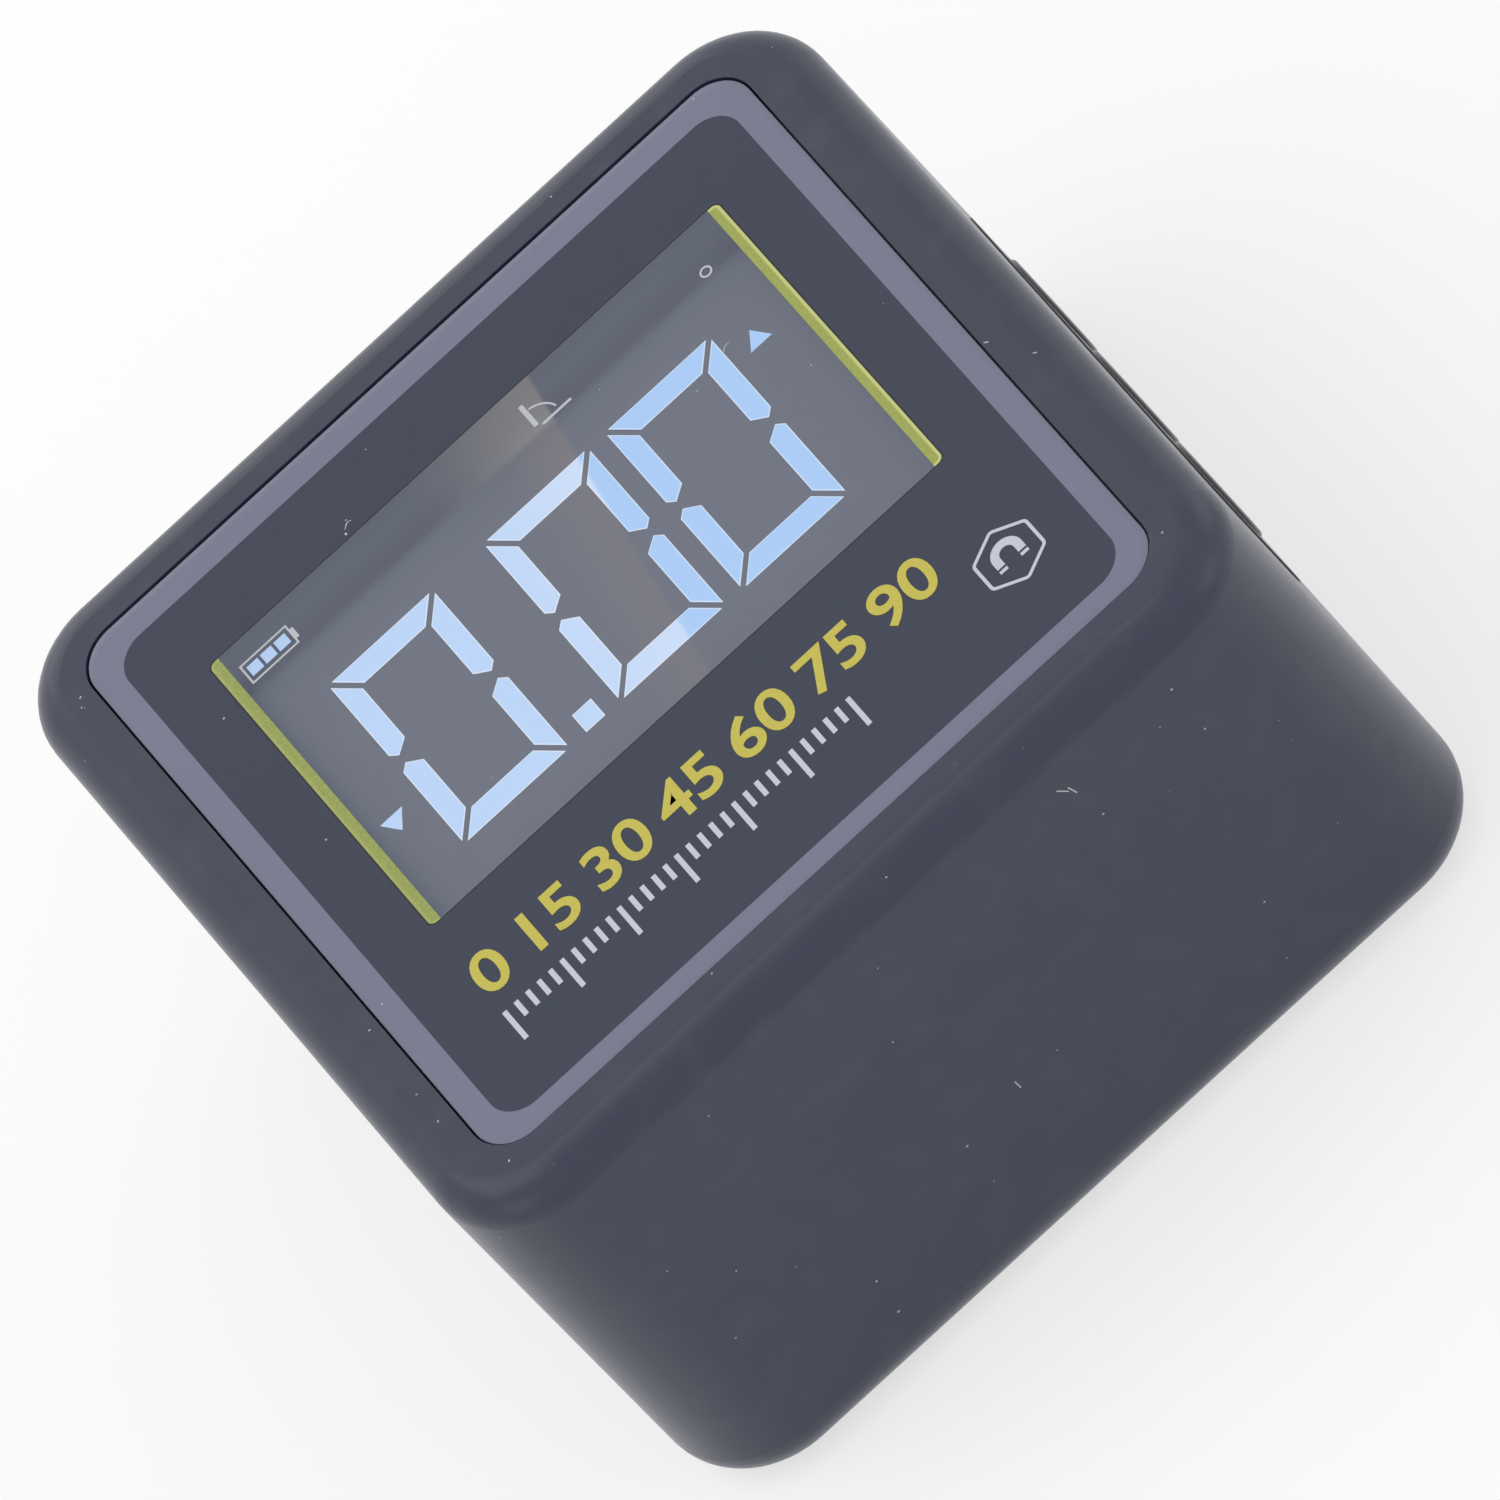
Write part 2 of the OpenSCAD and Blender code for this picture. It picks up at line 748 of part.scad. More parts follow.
housing();
rear_cover();
rear_screws();
display_lens();
lens_tape();
lcd_glass();
lcd_backlight();
lcd_frame();
lcd_strip();
main_board();
controller_chip();
tilt_sensor();
board_parts();
board_screws();
power_switch();
hold_switch();
zero_switch();
power_plunger();
hold_plunger();
zero_plunger();
power_key();
hold_key();
zero_key();
key_panel();
battery_cell();
battery_tape();
battery_socket();
battery_leads();
charge_shell();
charge_tongue();
base_magnets();
magnet_keeper();
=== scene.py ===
"""Looks of a pocket digital angle gauge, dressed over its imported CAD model.

The gauge lies on its back: +Z is the display's normal, +Y the top of the display, +X the key side.
Lengths are metres in the CAD model's own frame.
"""

import functools
import math

import bpy
import numpy as np
from mathutils import Matrix, Vector


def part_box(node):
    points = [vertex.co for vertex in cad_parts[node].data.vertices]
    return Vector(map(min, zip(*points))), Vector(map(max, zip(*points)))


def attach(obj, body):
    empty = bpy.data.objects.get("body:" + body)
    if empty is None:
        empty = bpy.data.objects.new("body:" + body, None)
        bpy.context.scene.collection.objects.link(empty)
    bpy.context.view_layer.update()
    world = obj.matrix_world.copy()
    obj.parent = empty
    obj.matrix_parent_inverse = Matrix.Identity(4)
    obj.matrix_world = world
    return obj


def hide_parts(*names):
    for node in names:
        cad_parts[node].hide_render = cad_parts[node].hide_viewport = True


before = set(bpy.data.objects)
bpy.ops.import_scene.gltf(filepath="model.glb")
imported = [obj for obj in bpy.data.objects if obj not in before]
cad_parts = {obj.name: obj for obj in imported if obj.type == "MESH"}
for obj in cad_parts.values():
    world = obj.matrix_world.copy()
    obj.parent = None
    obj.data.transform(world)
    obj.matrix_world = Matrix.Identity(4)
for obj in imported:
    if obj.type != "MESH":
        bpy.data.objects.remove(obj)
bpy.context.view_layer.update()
LENS_LOW, LENS_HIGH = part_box("display_lens")
_, CELL_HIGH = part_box("lcd_glass")
TONGUE_LOW, TONGUE_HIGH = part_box("charge_tongue")
HOUSING_LOW, HOUSING_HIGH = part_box("housing")

bl_info = {
    "name": "Digital angle gauge looks",
    "version": (1, 0, 0),
    "blender": (4, 5, 0),
    "location": "3D View > Sidebar > Angle Gauge",
    "description": "Printed panel, lit display, finishes and studio of a pocket digital angle gauge",
    "category": "Object",
}

MM = 0.001

# How far the ink reaches into the panel and stands above it
INK_SUNK = 0.01 * MM
INK_PROUD = 0.03 * MM

# Corner radii of the print, and the dark line round the bars
WINDOW_RADIUS = 0.05 * MM
BAR_RADIUS = 0.42 * MM
BAR_LINE = 0.1 * MM
BAR_LINE_RADIUS = 0.5 * MM

# A painted reflection lies on the display and ends at a slanting line: its place where y is 0, its
# slope, half the width of its edge, and the width over which the reflection grows before it
REFLECTION_PLACE = 2.28 * MM
REFLECTION_SLOPE = 0.122
REFLECTION_EDGE = 0.15 * MM
REFLECTION_REACH = 9.4 * MM

# Faces that meet at a smaller angle are shaded as one smooth surface
SMOOTH_BELOW = math.radians(40)

# Plain working surfaces by material slot: the finish's name, its darker and lighter tone, the size of
# its grain in millimetres and its roughness, and where they aren't the usual ones, how metallic it is,
# the depth of its grain in millimetres and how much finer the grain is along each axis
PLAIN_FINISHES = {
    "panel": ("panel_edge", (0.03, 0.033, 0.04), (0.04, 0.043, 0.05), 0.4, 0.3),
    "tape": ("foam_tape", (0.008, 0.008, 0.009), (0.02, 0.02, 0.022), 0.2, 0.85, 0.0, 0.04),
    "light_guide": ("light_guide", (0.72, 0.78, 0.86), (0.80, 0.85, 0.92), 1.5, 0.2),
    "white_plastic": ("white_moulding", (0.70, 0.70, 0.67), (0.78, 0.78, 0.75), 0.3, 0.45),
    "contact_rubber": (
        "contact_rubber", (0.55, 0.25, 0.26), (0.70, 0.36, 0.37), 0.15, 0.6, 0.0, 0.01, (6.0, 0.3, 0.3),
    ),
    "chip": ("chip_resin", (0.010, 0.010, 0.011), (0.022, 0.022, 0.024), 0.12, 0.55),
    "small_parts": ("small_ceramics", (0.20, 0.13, 0.08), (0.32, 0.22, 0.14), 0.2, 0.4),
    "screw_steel": ("screw_steel", (0.36, 0.37, 0.38), (0.50, 0.51, 0.52), 0.15, 0.34, 1.0, 0.006),
    "black_plastic": ("black_moulding", (0.010, 0.010, 0.011), (0.020, 0.020, 0.021), 0.2, 0.5),
    "cell_foil": ("cell_foil", (0.52, 0.53, 0.55), (0.62, 0.63, 0.65), 0.8, 0.36, 1.0, 0.03),
    "lead_sleeve": ("lead_sleeve", (0.35, 0.02, 0.02), (0.48, 0.03, 0.03), 0.3, 0.45),
    "socket_metal": (
        "socket_metal", (0.48, 0.49, 0.50), (0.62, 0.63, 0.64), 0.2, 0.28, 1.0, 0.004, (0.2, 3.0, 3.0),
    ),
    "magnet_plating": ("magnet_plating", (0.55, 0.55, 0.54), (0.66, 0.66, 0.65), 0.3, 0.22, 1.0),
    "keeper_steel": (
        "keeper_steel", (0.30, 0.30, 0.31), (0.42, 0.42, 0.43), 0.2, 0.42, 1.0, 0.01, (0.2, 2.0, 2.0),
    ),
}


def length(name, description, default):
    """A size in metres that a user may change."""
    return bpy.props.FloatProperty(
        name=name, description=description, default=default, unit="LENGTH", precision=5
    )


def colour(name, description, default):
    """A linear colour that a user may change."""
    return bpy.props.FloatVectorProperty(
        name=name, description=description, default=default, size=3, subtype="COLOR", min=0, max=1
    )


def amount(name, description, default):
    """A plain number that a user may change."""
    return bpy.props.FloatProperty(name=name, description=description, default=default)


class GaugePlastics(bpy.types.PropertyGroup):
    """Colours and surface of the moulded pieces."""

    shell: colour("Shell", "Satin plastic of the housing and the rear cover", (0.0277, 0.0336, 0.0635))
    keys: colour("Keys", "Rubber of the push keys", (0.016, 0.017, 0.020))
    strip: colour("Key strip", "Plastic of the strip round the keys", (0.022, 0.024, 0.029))
    dust: colour("Dust", "Specks and fibres that lie on the surfaces", (0.62, 0.63, 0.66))
    roughness: amount("Roughness", "Roughness of the satin plastic", 0.37)
    grain: length("Grain", "Size of the moulded grain", 0.16 * MM)


class GaugePrint(bpy.types.PropertyGroup):
    """Colours and sizes of the panel's print and ink."""

    border: colour("Border", "Pale band round the panel", (0.183, 0.196, 0.278))
    field: colour("Field", "Dark ground of the panel", (0.0285, 0.0372, 0.069))
    bar: colour("Bars", "Bars beside the window", (0.325, 0.382, 0.092))
    bold_ink: colour("Bold ink", "Ink of the degree numerals", (0.590, 0.520, 0.070))
    thin_ink: colour("Thin ink", "Ink of the tick row and the magnet sign", (0.610, 0.620, 0.700))
    side_band: length("Side band", "Width of the pale band at the sides", 1.56 * MM)
    top_band: length("Top band", "Width of the pale band at the top", 1.84 * MM)
    low_band: length("Low band", "Width of the pale band at the bottom", 1.42 * MM)
    field_radius: length("Field radius", "Corner radius of the dark ground", 2.0 * MM)
    window_side: length("Window side", "Half the width of the clear window", 17.24 * MM)
    window_top: length("Window top", "Height of the window's upper edge", 16.46 * MM)
    window_low: length("Window foot", "Height of the window's lower edge", -7.97 * MM)
    bar_width: length("Bar width", "Width of a bar beside the window", 0.66 * MM)
    numeral_left: length("Numerals left", "Left end of the numeral row", -18.06 * MM)
    numeral_right: length("Numerals right", "Right end of the numeral row", 13.7 * MM)
    numeral_top: length("Numerals top", "Top of the numeral row", -11.5 * MM)
    numeral_low: length("Numerals foot", "Foot of the numeral row", -14.55 * MM)
    tick_right: length("Ticks right", "Right end of the tick row", 6.13 * MM)
    tick_top: length("Ticks top", "Top of the tick row", -15.88 * MM)
    tick_low: length("Ticks foot", "Foot of the tick row", -18.32 * MM)
    tick_width: length("Tick width", "Width of one tick", 0.3 * MM)
    sign_x: length("Sign place", "Middle of the magnet sign across the panel", 17.08 * MM)
    sign_y: length("Sign height", "Middle of the magnet sign up the panel", -16.14 * MM)
    sign_size: length("Sign size", "Height of the magnet sign's outline", 4.38 * MM)


class GaugeDisplay(bpy.types.PropertyGroup):
    """Colours and sizes of the display behind the window."""

    lit: colour("Lit", "Light of the digits", (0.39, 0.60, 0.94))
    rim: colour("Rim", "Paler light along the edges of the digits", (0.66, 0.79, 0.96))
    rim_width: length("Rim width", "Width of the paler edge of the digits", 0.06 * MM)
    glass: colour("Glass", "Ground of the display", (0.050, 0.052, 0.058))
    leak: colour("Leak", "Light that leaks through the ground of the display", (0.1046, 0.120, 0.1635))
    digit_width: length("Digit width", "Width of a digit", 7.36 * MM)
    digit_height: length("Digit height", "Height of a digit", 14.9 * MM)
    upright: length("Upright", "Width of an upright stroke", 1.28 * MM)
    level: length("Level", "Height of a level stroke", 1.6 * MM)
    split: length("Split", "Gap between two strokes", 0.36 * MM)
    digit_foot: length("Digit foot", "Height of the digits' lower edge", -3.47 * MM)
    fine_line: length("Fine line", "Width of the thin lines of the small signs", 0.11 * MM)


class GaugeStage(bpy.types.PropertyGroup):
    """Camera, floor and light."""

    azimuth: amount("Azimuth", "Camera's turn round the gauge in degrees", 1.97)
    elevation: amount("Elevation", "Camera's height above the floor in degrees", 46.82)
    roll: amount("Roll", "Turn of the picture in degrees", 43.88)
    distance: length("Distance", "Camera's distance from the gauge", 1.848)
    lens: amount("Focal length", "Focal length in millimetres", 852.8)
    aim_height: length("Aim height", "Height of the point that the camera aims at", 13.5 * MM)
    shift_right: length("Frame right", "How far the gauge stands right of the frame's middle", 0.744 * MM)
    shift_down: length("Frame down", "How far the gauge stands below the frame's middle", 0.739 * MM)
    floor: colour("Floor", "Colour of the floor", (0.93, 0.93, 0.93))
    ambient: amount("Ambient", "Strength of the light from all round", 0.66)
    key: amount("Key light", "Power of the high soft box in watts", 3.2)
    fill: amount("Fill light", "Power of each soft box before the base in watts", 1.5)
    side: amount("Side light", "Power of the soft box at the key side in watts", 1.0)
    rear: amount("Rear light", "Power of the near soft box beyond the top in watts", 0.13)


class Wire:
    """One output of a node tree. Arithmetic on it adds Math nodes."""

    def __init__(self, tree, socket):
        self.tree, self.socket = tree, socket

    def math(self, operation, *values):
        """Adds a Math node."""
        return self.tree.node("ShaderNodeMath", {"operation": operation}, values)

    def __add__(self, other):
        return self.math("ADD", self, other)

    def __radd__(self, other):
        return self.math("ADD", other, self)

    def __sub__(self, other):
        return self.math("SUBTRACT", self, other)

    def __rsub__(self, other):
        return self.math("SUBTRACT", other, self)

    def __mul__(self, other):
        return self.math("MULTIPLY", self, other)

    def __rmul__(self, other):
        return self.math("MULTIPLY", other, self)

    def __truediv__(self, other):
        return self.math("DIVIDE", self, other)

    def __pow__(self, other):
        return self.math("POWER", self, other)

    def __abs__(self):
        return self.math("ABSOLUTE", self)

    def least(self, other):
        """The smaller of two values."""
        return self.math("MINIMUM", self, other)

    def most(self, other):
        """The larger of two values."""
        return self.math("MAXIMUM", self, other)

    def sine(self):
        """The sine of the value in radians."""
        return self.math("SINE", self)

    def rise(self, start, end):
        """0 below start, 1 above end, smooth between them."""
        return self.tree.node(
            "ShaderNodeMapRange",
            {"interpolation_type": "SMOOTHSTEP", "clamp": True},
            {"Value": self, "From Min": start, "From Max": end},
        )


class Finish:
    """Node tree of a new material, or of a new world if the store of worlds is named."""

    def __init__(self, name, store="materials"):
        self.owner = getattr(bpy.data, store).new(name)
        self.owner.use_nodes = True
        self.nodes = self.owner.node_tree.nodes
        self.links = self.owner.node_tree.links
        self.nodes.clear()

    @functools.cached_property
    def place(self):
        """Object coordinates, from one node for the whole tree."""
        return self.node("ShaderNodeTexCoord", output="Object")

    def node(self, kind, settings=None, inputs=None, output=0):
        """Adds a node: its settings first, then the values or links of its sockets."""
        made = self.nodes.new(kind)
        for key, value in (settings or {}).items():
            setattr(made, key, value)
        for key, value in inputs.items() if isinstance(inputs, dict) else enumerate(inputs or ()):
            self.join(made.inputs[key], value)
        return Wire(self, made.outputs[output]) if made.outputs else None

    def join(self, socket, value):
        """Links a wire to a socket, or sets the socket's own value."""
        if isinstance(value, Wire):
            self.links.new(value.socket, socket)
        elif socket.type == "RGBA":
            socket.default_value = (*value, 1.0)
        else:
            socket.default_value = value

    def axes(self):
        """The three object coordinates."""
        made = self.node("ShaderNodeSeparateXYZ", None, (self.place,)).socket.node
        return [Wire(self, made.outputs[i]) for i in range(3)]

    def vector(self, operation, inputs, output=0):
        """Adds a Vector Math node."""
        return self.node("ShaderNodeVectorMath", {"operation": operation}, inputs, output)

    def noise(self, size, detail=2.0, stretch=None):
        """Noise from 0 to 1 whose features have about the given size, finer along an axis by its
        stretch."""
        place = self.vector("MULTIPLY", (self.place, stretch)) if stretch else self.place
        return self.node(
            "ShaderNodeTexNoise", None, {"Vector": place, "Scale": 1 / size, "Detail": detail}, "Fac"
        )

    def specks(self, spacing, radius):
        """Mask of tiny specks: the points nearer than a random radius to one of the scattered cell
        centres."""
        cells = self.node(
            "ShaderNodeTexVoronoi", None, {"Vector": self.place, "Scale": 1 / spacing}, "Distance"
        )
        cell_tint = Wire(self, cells.socket.node.outputs["Color"])
        chance = self.node("ShaderNodeSeparateColor", None, (cell_tint,), "Red")
        reach = (chance ** 3) * (radius / spacing)
        return 1 - (cells - reach).rise(0, 0.25 * radius / spacing)

    def marks(self, places):
        """Mask of lint on a surface: the points nearer than a radius to one of the straight marks, each
        given by its two ends and that radius."""
        mask = 0.0
        for start, end, radius in places:
            reach = end - start
            offset = self.vector("SUBTRACT", (self.place, start))
            share = self.vector("DOT_PRODUCT", (offset, reach / reach.length_squared), "Value")
            nearest = self.vector("SCALE", {0: reach, "Scale": share.most(0).least(1)})
            apart = self.vector("DISTANCE", (offset, nearest), "Value")
            mask = (1 - apart.rise(0.5 * radius, radius)).most(mask)
        return mask

    def seen_rays(self):
        """1 on the rays of the camera and on those that gloss and glass send on, 0 on all others."""
        kinds = self.node("ShaderNodeLightPath").socket.node.outputs
        camera, glossy, through = (
            Wire(self, kinds[kind]) for kind in ("Is Camera Ray", "Is Glossy Ray", "Is Transmission Ray")
        )
        return camera.most(glossy).most(through)

    def mix(self, share, first, second):
        """Colour between two colours."""
        return self.node("ShaderNodeMix", {"data_type": "RGBA"}, {0: share, 6: first, 7: second}, 2)

    def bump(self, height, depth, strength):
        """Normal of a surface that rises by the height times the depth."""
        return self.node(
            "ShaderNodeBump", None, {"Height": height, "Distance": depth, "Strength": strength}
        )

    def surface(self, **inputs):
        """Ends the tree in a Principled shader; underscores in the names stand for blanks."""
        shader = self.node(
            "ShaderNodeBsdfPrincipled", None, {key.replace("_", " "): value for key, value in inputs.items()}
        )
        self.node("ShaderNodeOutputMaterial", None, {"Surface": shader})
        return self.owner


def shade(tint, factor):
    """A colour made lighter or darker."""
    return tuple(min(1.0, part * factor) for part in tint)


def tinted(tint, factors):
    """A colour with each of its parts made lighter or darker by a factor of its own."""
    return tuple(part * factor for part, factor in zip(tint, factors))


def rounded_distance(x, y, middle, size, radius):
    """Signed distance from the edge of a rounded rectangle: outside, the length of what sticks out past
    the inner rectangle; inside, the larger of the two insets; less the corner's radius."""
    out_x = abs(x - middle[0]) - (size[0] / 2 - radius)
    out_y = abs(y - middle[1]) - (size[1] / 2 - radius)
    reach = (out_x.most(0) ** 2 + out_y.most(0) ** 2) ** 0.5
    return reach + out_x.most(out_y).least(0) - radius


def inside(distance, soft=0.03 * MM):
    """Mask of the points inside an edge, with a soft step of the given width."""
    return 1 - distance.rise(-soft / 2, soft / 2)


def satin_finish(name, tint, plastics, scuff=0.5, lint=()):
    """Satin moulded plastic: faint cloudiness in the colour, a fine grain, thin dust, a few pale specks
    and the lint that lies at the given places. A thin smooth skin gives the bright edge at grazing
    angles."""
    f = Finish(name)
    dust = tuple(plastics.dust)
    cloud = f.noise(7 * MM, 3.0)
    grain = f.noise(plastics.grain, 3.0)
    film = f.noise(2.2 * MM, 5.0).rise(0.45, 0.8)
    specks = f.specks(1.7 * MM, 0.085 * MM)
    base = f.mix(cloud, shade(tint, 0.93), shade(tint, 1.08))
    base = f.mix(film * 0.035 * scuff, base, dust)
    base = f.mix(specks * 0.55, base, dust)
    if lint:
        base = f.mix(f.marks(lint) * 0.75, base, dust)
    rough = plastics.roughness + (grain - 0.5) * 0.10 + film * 0.06 + specks * 0.3
    return f.surface(
        Base_Color=base, Roughness=rough, IOR=1.42, Coat_Weight=0.26, Coat_Roughness=0.14, Coat_IOR=1.4,
        Normal=f.bump(grain, 0.004 * MM, 0.35),
    )


def grained_finish(name, dark, light, size, rough, metal=0.0, depth=0.01, stretch=None):
    """Plain working surface: two near tones mixed by a noise of the material's own grain, with its
    roughness and relief from the same noise. Size and depth of the grain are in millimetres."""
    f = Finish(name)
    grain = f.noise(size * MM, 4.0, stretch)
    broad = f.noise(12 * size * MM, 2.0)
    return f.surface(
        Base_Color=f.mix((grain * 0.6 + broad * 0.4).rise(0.3, 0.7), dark, light),
        Roughness=rough + (grain - 0.5) * 0.16,
        Metallic=metal,
        Normal=f.bump(grain, depth * MM, 0.5),
    )


def panel_finish(name, ink, plastics):
    """Clear panel printed from behind: signed distances of rounded rectangles part the pale band, the
    dark ground, the bars and the clear window, which lets the display show through. The back of the
    panel is clear a little way past the window."""
    f = Finish(name)
    x, y, z = f.axes()
    field_top, field_low = LENS_HIGH.y - ink.top_band, LENS_LOW.y + ink.low_band
    field_middle = (0, (field_top + field_low) / 2)
    field_size = (2 * (LENS_HIGH.x - ink.side_band), field_top - field_low)
    field = inside(rounded_distance(x, y, field_middle, field_size, ink.field_radius))

    middle = (0, (ink.window_top + ink.window_low) / 2)
    tall = ink.window_top - ink.window_low
    wide = 2 * (ink.window_side + ink.bar_width)
    window = inside(rounded_distance(x, y, middle, (2 * ink.window_side, tall), WINDOW_RADIUS))
    bar_edge = rounded_distance(x, y, middle, (wide, tall), BAR_RADIUS)
    bars = inside(bar_edge) * (1 - window)
    rim = bar_edge.rise(-0.22 * MM, -0.12 * MM)
    lined = (wide + 2 * BAR_LINE, tall + 2 * BAR_LINE)
    line = inside(rounded_distance(x, y, middle, lined, BAR_LINE_RADIUS))

    cloud = f.noise(9 * MM, 3.0)
    band = f.mix(cloud, shade(ink.border, 0.96), shade(ink.border, 1.05))
    ground = f.mix(cloud, shade(ink.field, 0.94), shade(ink.field, 1.07))
    base = f.mix(field, band, ground)
    base = f.mix(line * 0.9, base, shade(ink.field, 0.1))
    ripple = f.noise(0.16 * MM, 2.0).rise(0.3, 0.7)
    yellow = f.mix(ripple, shade(ink.bar, 0.86), shade(ink.bar, 1.1))
    # Painted highlight: the bar on the key side is a little lighter, and the bars are lighter along their
    # outer rim, most on the key side.
    key_side = x.rise(-1 * MM, 1 * MM)
    yellow = f.mix(key_side * 0.3, yellow, tinted(ink.bar, (1.4, 1.25, 0.85)))
    yellow = f.mix(rim * (0.2 + key_side * 0.8), yellow, tinted(ink.bar, (1.85, 1.65, 2.3)))
    base = f.mix(bars, base, yellow)
    specks = f.specks(2.1 * MM, 0.085 * MM)
    base = f.mix(specks * 0.7, base, tuple(plastics.dust))

    under = (LENS_HIGH.z - z).rise(0.25 * MM, 0.3 * MM)
    cleared = (wide + 1.6 * MM, tall + 3.6 * MM)
    opening = inside(rounded_distance(x, y, middle, cleared, BAR_LINE_RADIUS))
    clear = (window * (1 - specks * 0.6)).most(under * opening * 1.1)
    rough = 0.2 + (f.noise(0.35 * MM, 3.0) - 0.5) * 0.06 + specks * 0.3
    return f.surface(Base_Color=base, Roughness=rough, IOR=1.46, Alpha=1 - clear * 0.9)


def display_reflection(f, width):
    """Two masks of the painted reflection on the display: one is 1 on the left of a slanting line, the
    other grows from 0 to 1 over the given width before that line."""
    x, y, _ = f.axes()
    past = x - (y * REFLECTION_SLOPE + REFLECTION_PLACE)
    return 1 - past.rise(-REFLECTION_EDGE, REFLECTION_EDGE), (past + width).rise(0, width)


def lit_finish(name, tint, glow=1.0, reflection_share=1.0):
    """Lit strokes of the display: light of one colour, a little uneven as the guide behind it is, and
    paler under the painted reflection, by the given share of it."""
    f = Finish(name)
    uneven = f.noise(5 * MM, 2.0)
    light = f.mix(uneven, shade(tint, 0.98), shade(tint, 1.02))
    side, reach = display_reflection(f, REFLECTION_REACH)
    # Painted reflection: the strokes turn paler left of the slanting line, growing towards it.
    light = f.mix(side * (0.5 + reach * 0.5) * reflection_share, light, tinted(tint, (1.53, 1.22, 1.02)))
    return f.surface(
        Base_Color=(0.02, 0.02, 0.025), Roughness=0.4 + (uneven - 0.5) * 0.1,
        Emission_Color=light, Emission_Strength=glow,
    )


def ink_finish(name, tint):
    """Screen print: a dense ink with slight mottling and a dull gloss."""
    f = Finish(name)
    mottle = f.noise(0.25 * MM, 4.0)
    return f.surface(
        Base_Color=f.mix(mottle, shade(tint, 0.93), shade(tint, 1.06)), Roughness=0.42 + (mottle - 0.5) * 0.1
    )


def glass_finish(name, tint, leak):
    """Ground of the display: a dull grey cell that leaks a little light, with a darker band at its top
    that is a painted shadow, painted lighter again towards the window's edge, a faint warm painted
    reflection that is stronger in that band, and fine mottling."""
    f = Finish(name)
    _, y, _ = f.axes()
    mottle = f.noise(0.4 * MM, 3.0)
    base = f.mix(mottle, shade(tint, 0.97), shade(tint, 1.03))
    side, reach = display_reflection(f, REFLECTION_REACH)
    _, near = display_reflection(f, 5 * MM)
    # Painted shadow of the window's top edge: the leak is dimmed above about 14.5 mm, then painted light
    # brings it up again towards 17.2 mm.
    band = y.rise(14.2 * MM, 14.9 * MM)
    fading = 0.7 + y.rise(8 * MM, 13 * MM) * 0.3
    glow = f.mix(band, leak, shade(leak, 0.79))
    glow = f.mix(y.rise(14.6 * MM, 17.2 * MM), glow, tinted(leak, (1.21, 1.19, 1.11)))
    # Painted warm reflection left of the slanting line: weaker further down below the band, and stronger in
    # the band.
    glow = f.mix(side * near * fading * (1 - band), glow, tinted(leak, (1.40, 1.16, 1.0)))
    glow = f.mix(side * reach * band, glow, tinted(leak, (2.08, 1.80, 1.38)))
    return f.surface(
        Base_Color=base, Roughness=0.35 + (mottle - 0.5) * 0.06, IOR=1.45,
        Emission_Color=glow, Emission_Strength=1.0,
    )


def board_finish(name):
    """Circuit board: green mask with darker and lighter track bands and a fine weave under it."""
    f = Finish(name)
    x, y, _ = f.axes()
    tracks = ((x / (0.18 * MM)).sine() * (y / (0.2 * MM)).sine()).rise(0.1, 0.3)
    weave = f.noise(0.12 * MM, 2.0)
    return f.surface(
        Base_Color=f.mix(tracks, (0.008, 0.085, 0.035), (0.015, 0.14, 0.055)),
        Roughness=0.38 + (weave - 0.5) * 0.12,
        Normal=f.bump(weave, 0.01 * MM, 0.4),
    )


def new_piece(name, points, faces, finish, body, slot=None, stands_for=()):
    """Puts arrays into a mesh object at the origin, shades it and lets it ride on a body."""
    mesh = bpy.data.meshes.new(name)
    mesh.from_pydata(np.asarray(points, float).tolist(), [], [tuple(map(int, face)) for face in faces])
    if mesh.validate():
        raise RuntimeError(f"{name} has faces that do not hold")
    mesh.polygons.foreach_set("use_smooth", np.ones(len(mesh.polygons), bool))
    mesh.set_sharp_from_angle(angle=SMOOTH_BELOW)
    mesh.materials.append(finish)
    mesh.update()
    piece = bpy.data.objects.new(name, mesh)
    bpy.context.scene.collection.objects.link(piece)
    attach(piece, body)
    if stands_for:
        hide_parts(*stands_for)


def joined(parts):
    """One set of points and faces from several."""
    points, faces, start = [], [], 0
    for some, shape in parts:
        points.append(some)
        faces += [[start + i for i in face] for face in shape]
        start += len(some)
    return np.concatenate(points), faces


def at_height(outline, height):
    """Points of a flat outline at one height."""
    return np.column_stack([outline, np.full(len(outline), height)])


def grid_faces(rows, columns, wrap_rows=False):
    """Quads of a grid of points in rows, closed round the columns and, if asked, from the last row to
    the first."""
    start = np.arange(rows if wrap_rows else rows - 1)[:, None] * columns
    next_start = (start + columns) % (rows * columns)
    column = np.arange(columns)[None, :]
    next_column = (column + 1) % columns
    corners = [start + column, start + next_column, next_start + next_column, next_start + column]
    return np.stack(corners, -1).reshape(-1, 4).tolist()


def solid_faces(rows, columns):
    """Faces of such a grid with its first and last rows closed too."""
    last = columns * (rows - 1)
    return grid_faces(rows, columns) + [list(range(columns))[::-1], list(range(last, last + columns))]


def rounded_ring(width, height, radius, steps=14):
    """Points round a rounded rectangle, anticlockwise: each corner's centre plus the radius along the
    angle."""
    turn = np.linspace(0, np.pi / 2, steps)
    angle = (turn[None, :] + np.arange(4)[:, None] * np.pi / 2).ravel()
    sides = np.repeat(np.array([[1, 1], [-1, 1], [-1, -1], [1, -1]]), steps, axis=0)
    centres = sides * np.array([width / 2 - radius, height / 2 - radius])
    return centres + radius * np.stack([np.cos(angle), np.sin(angle)], -1)


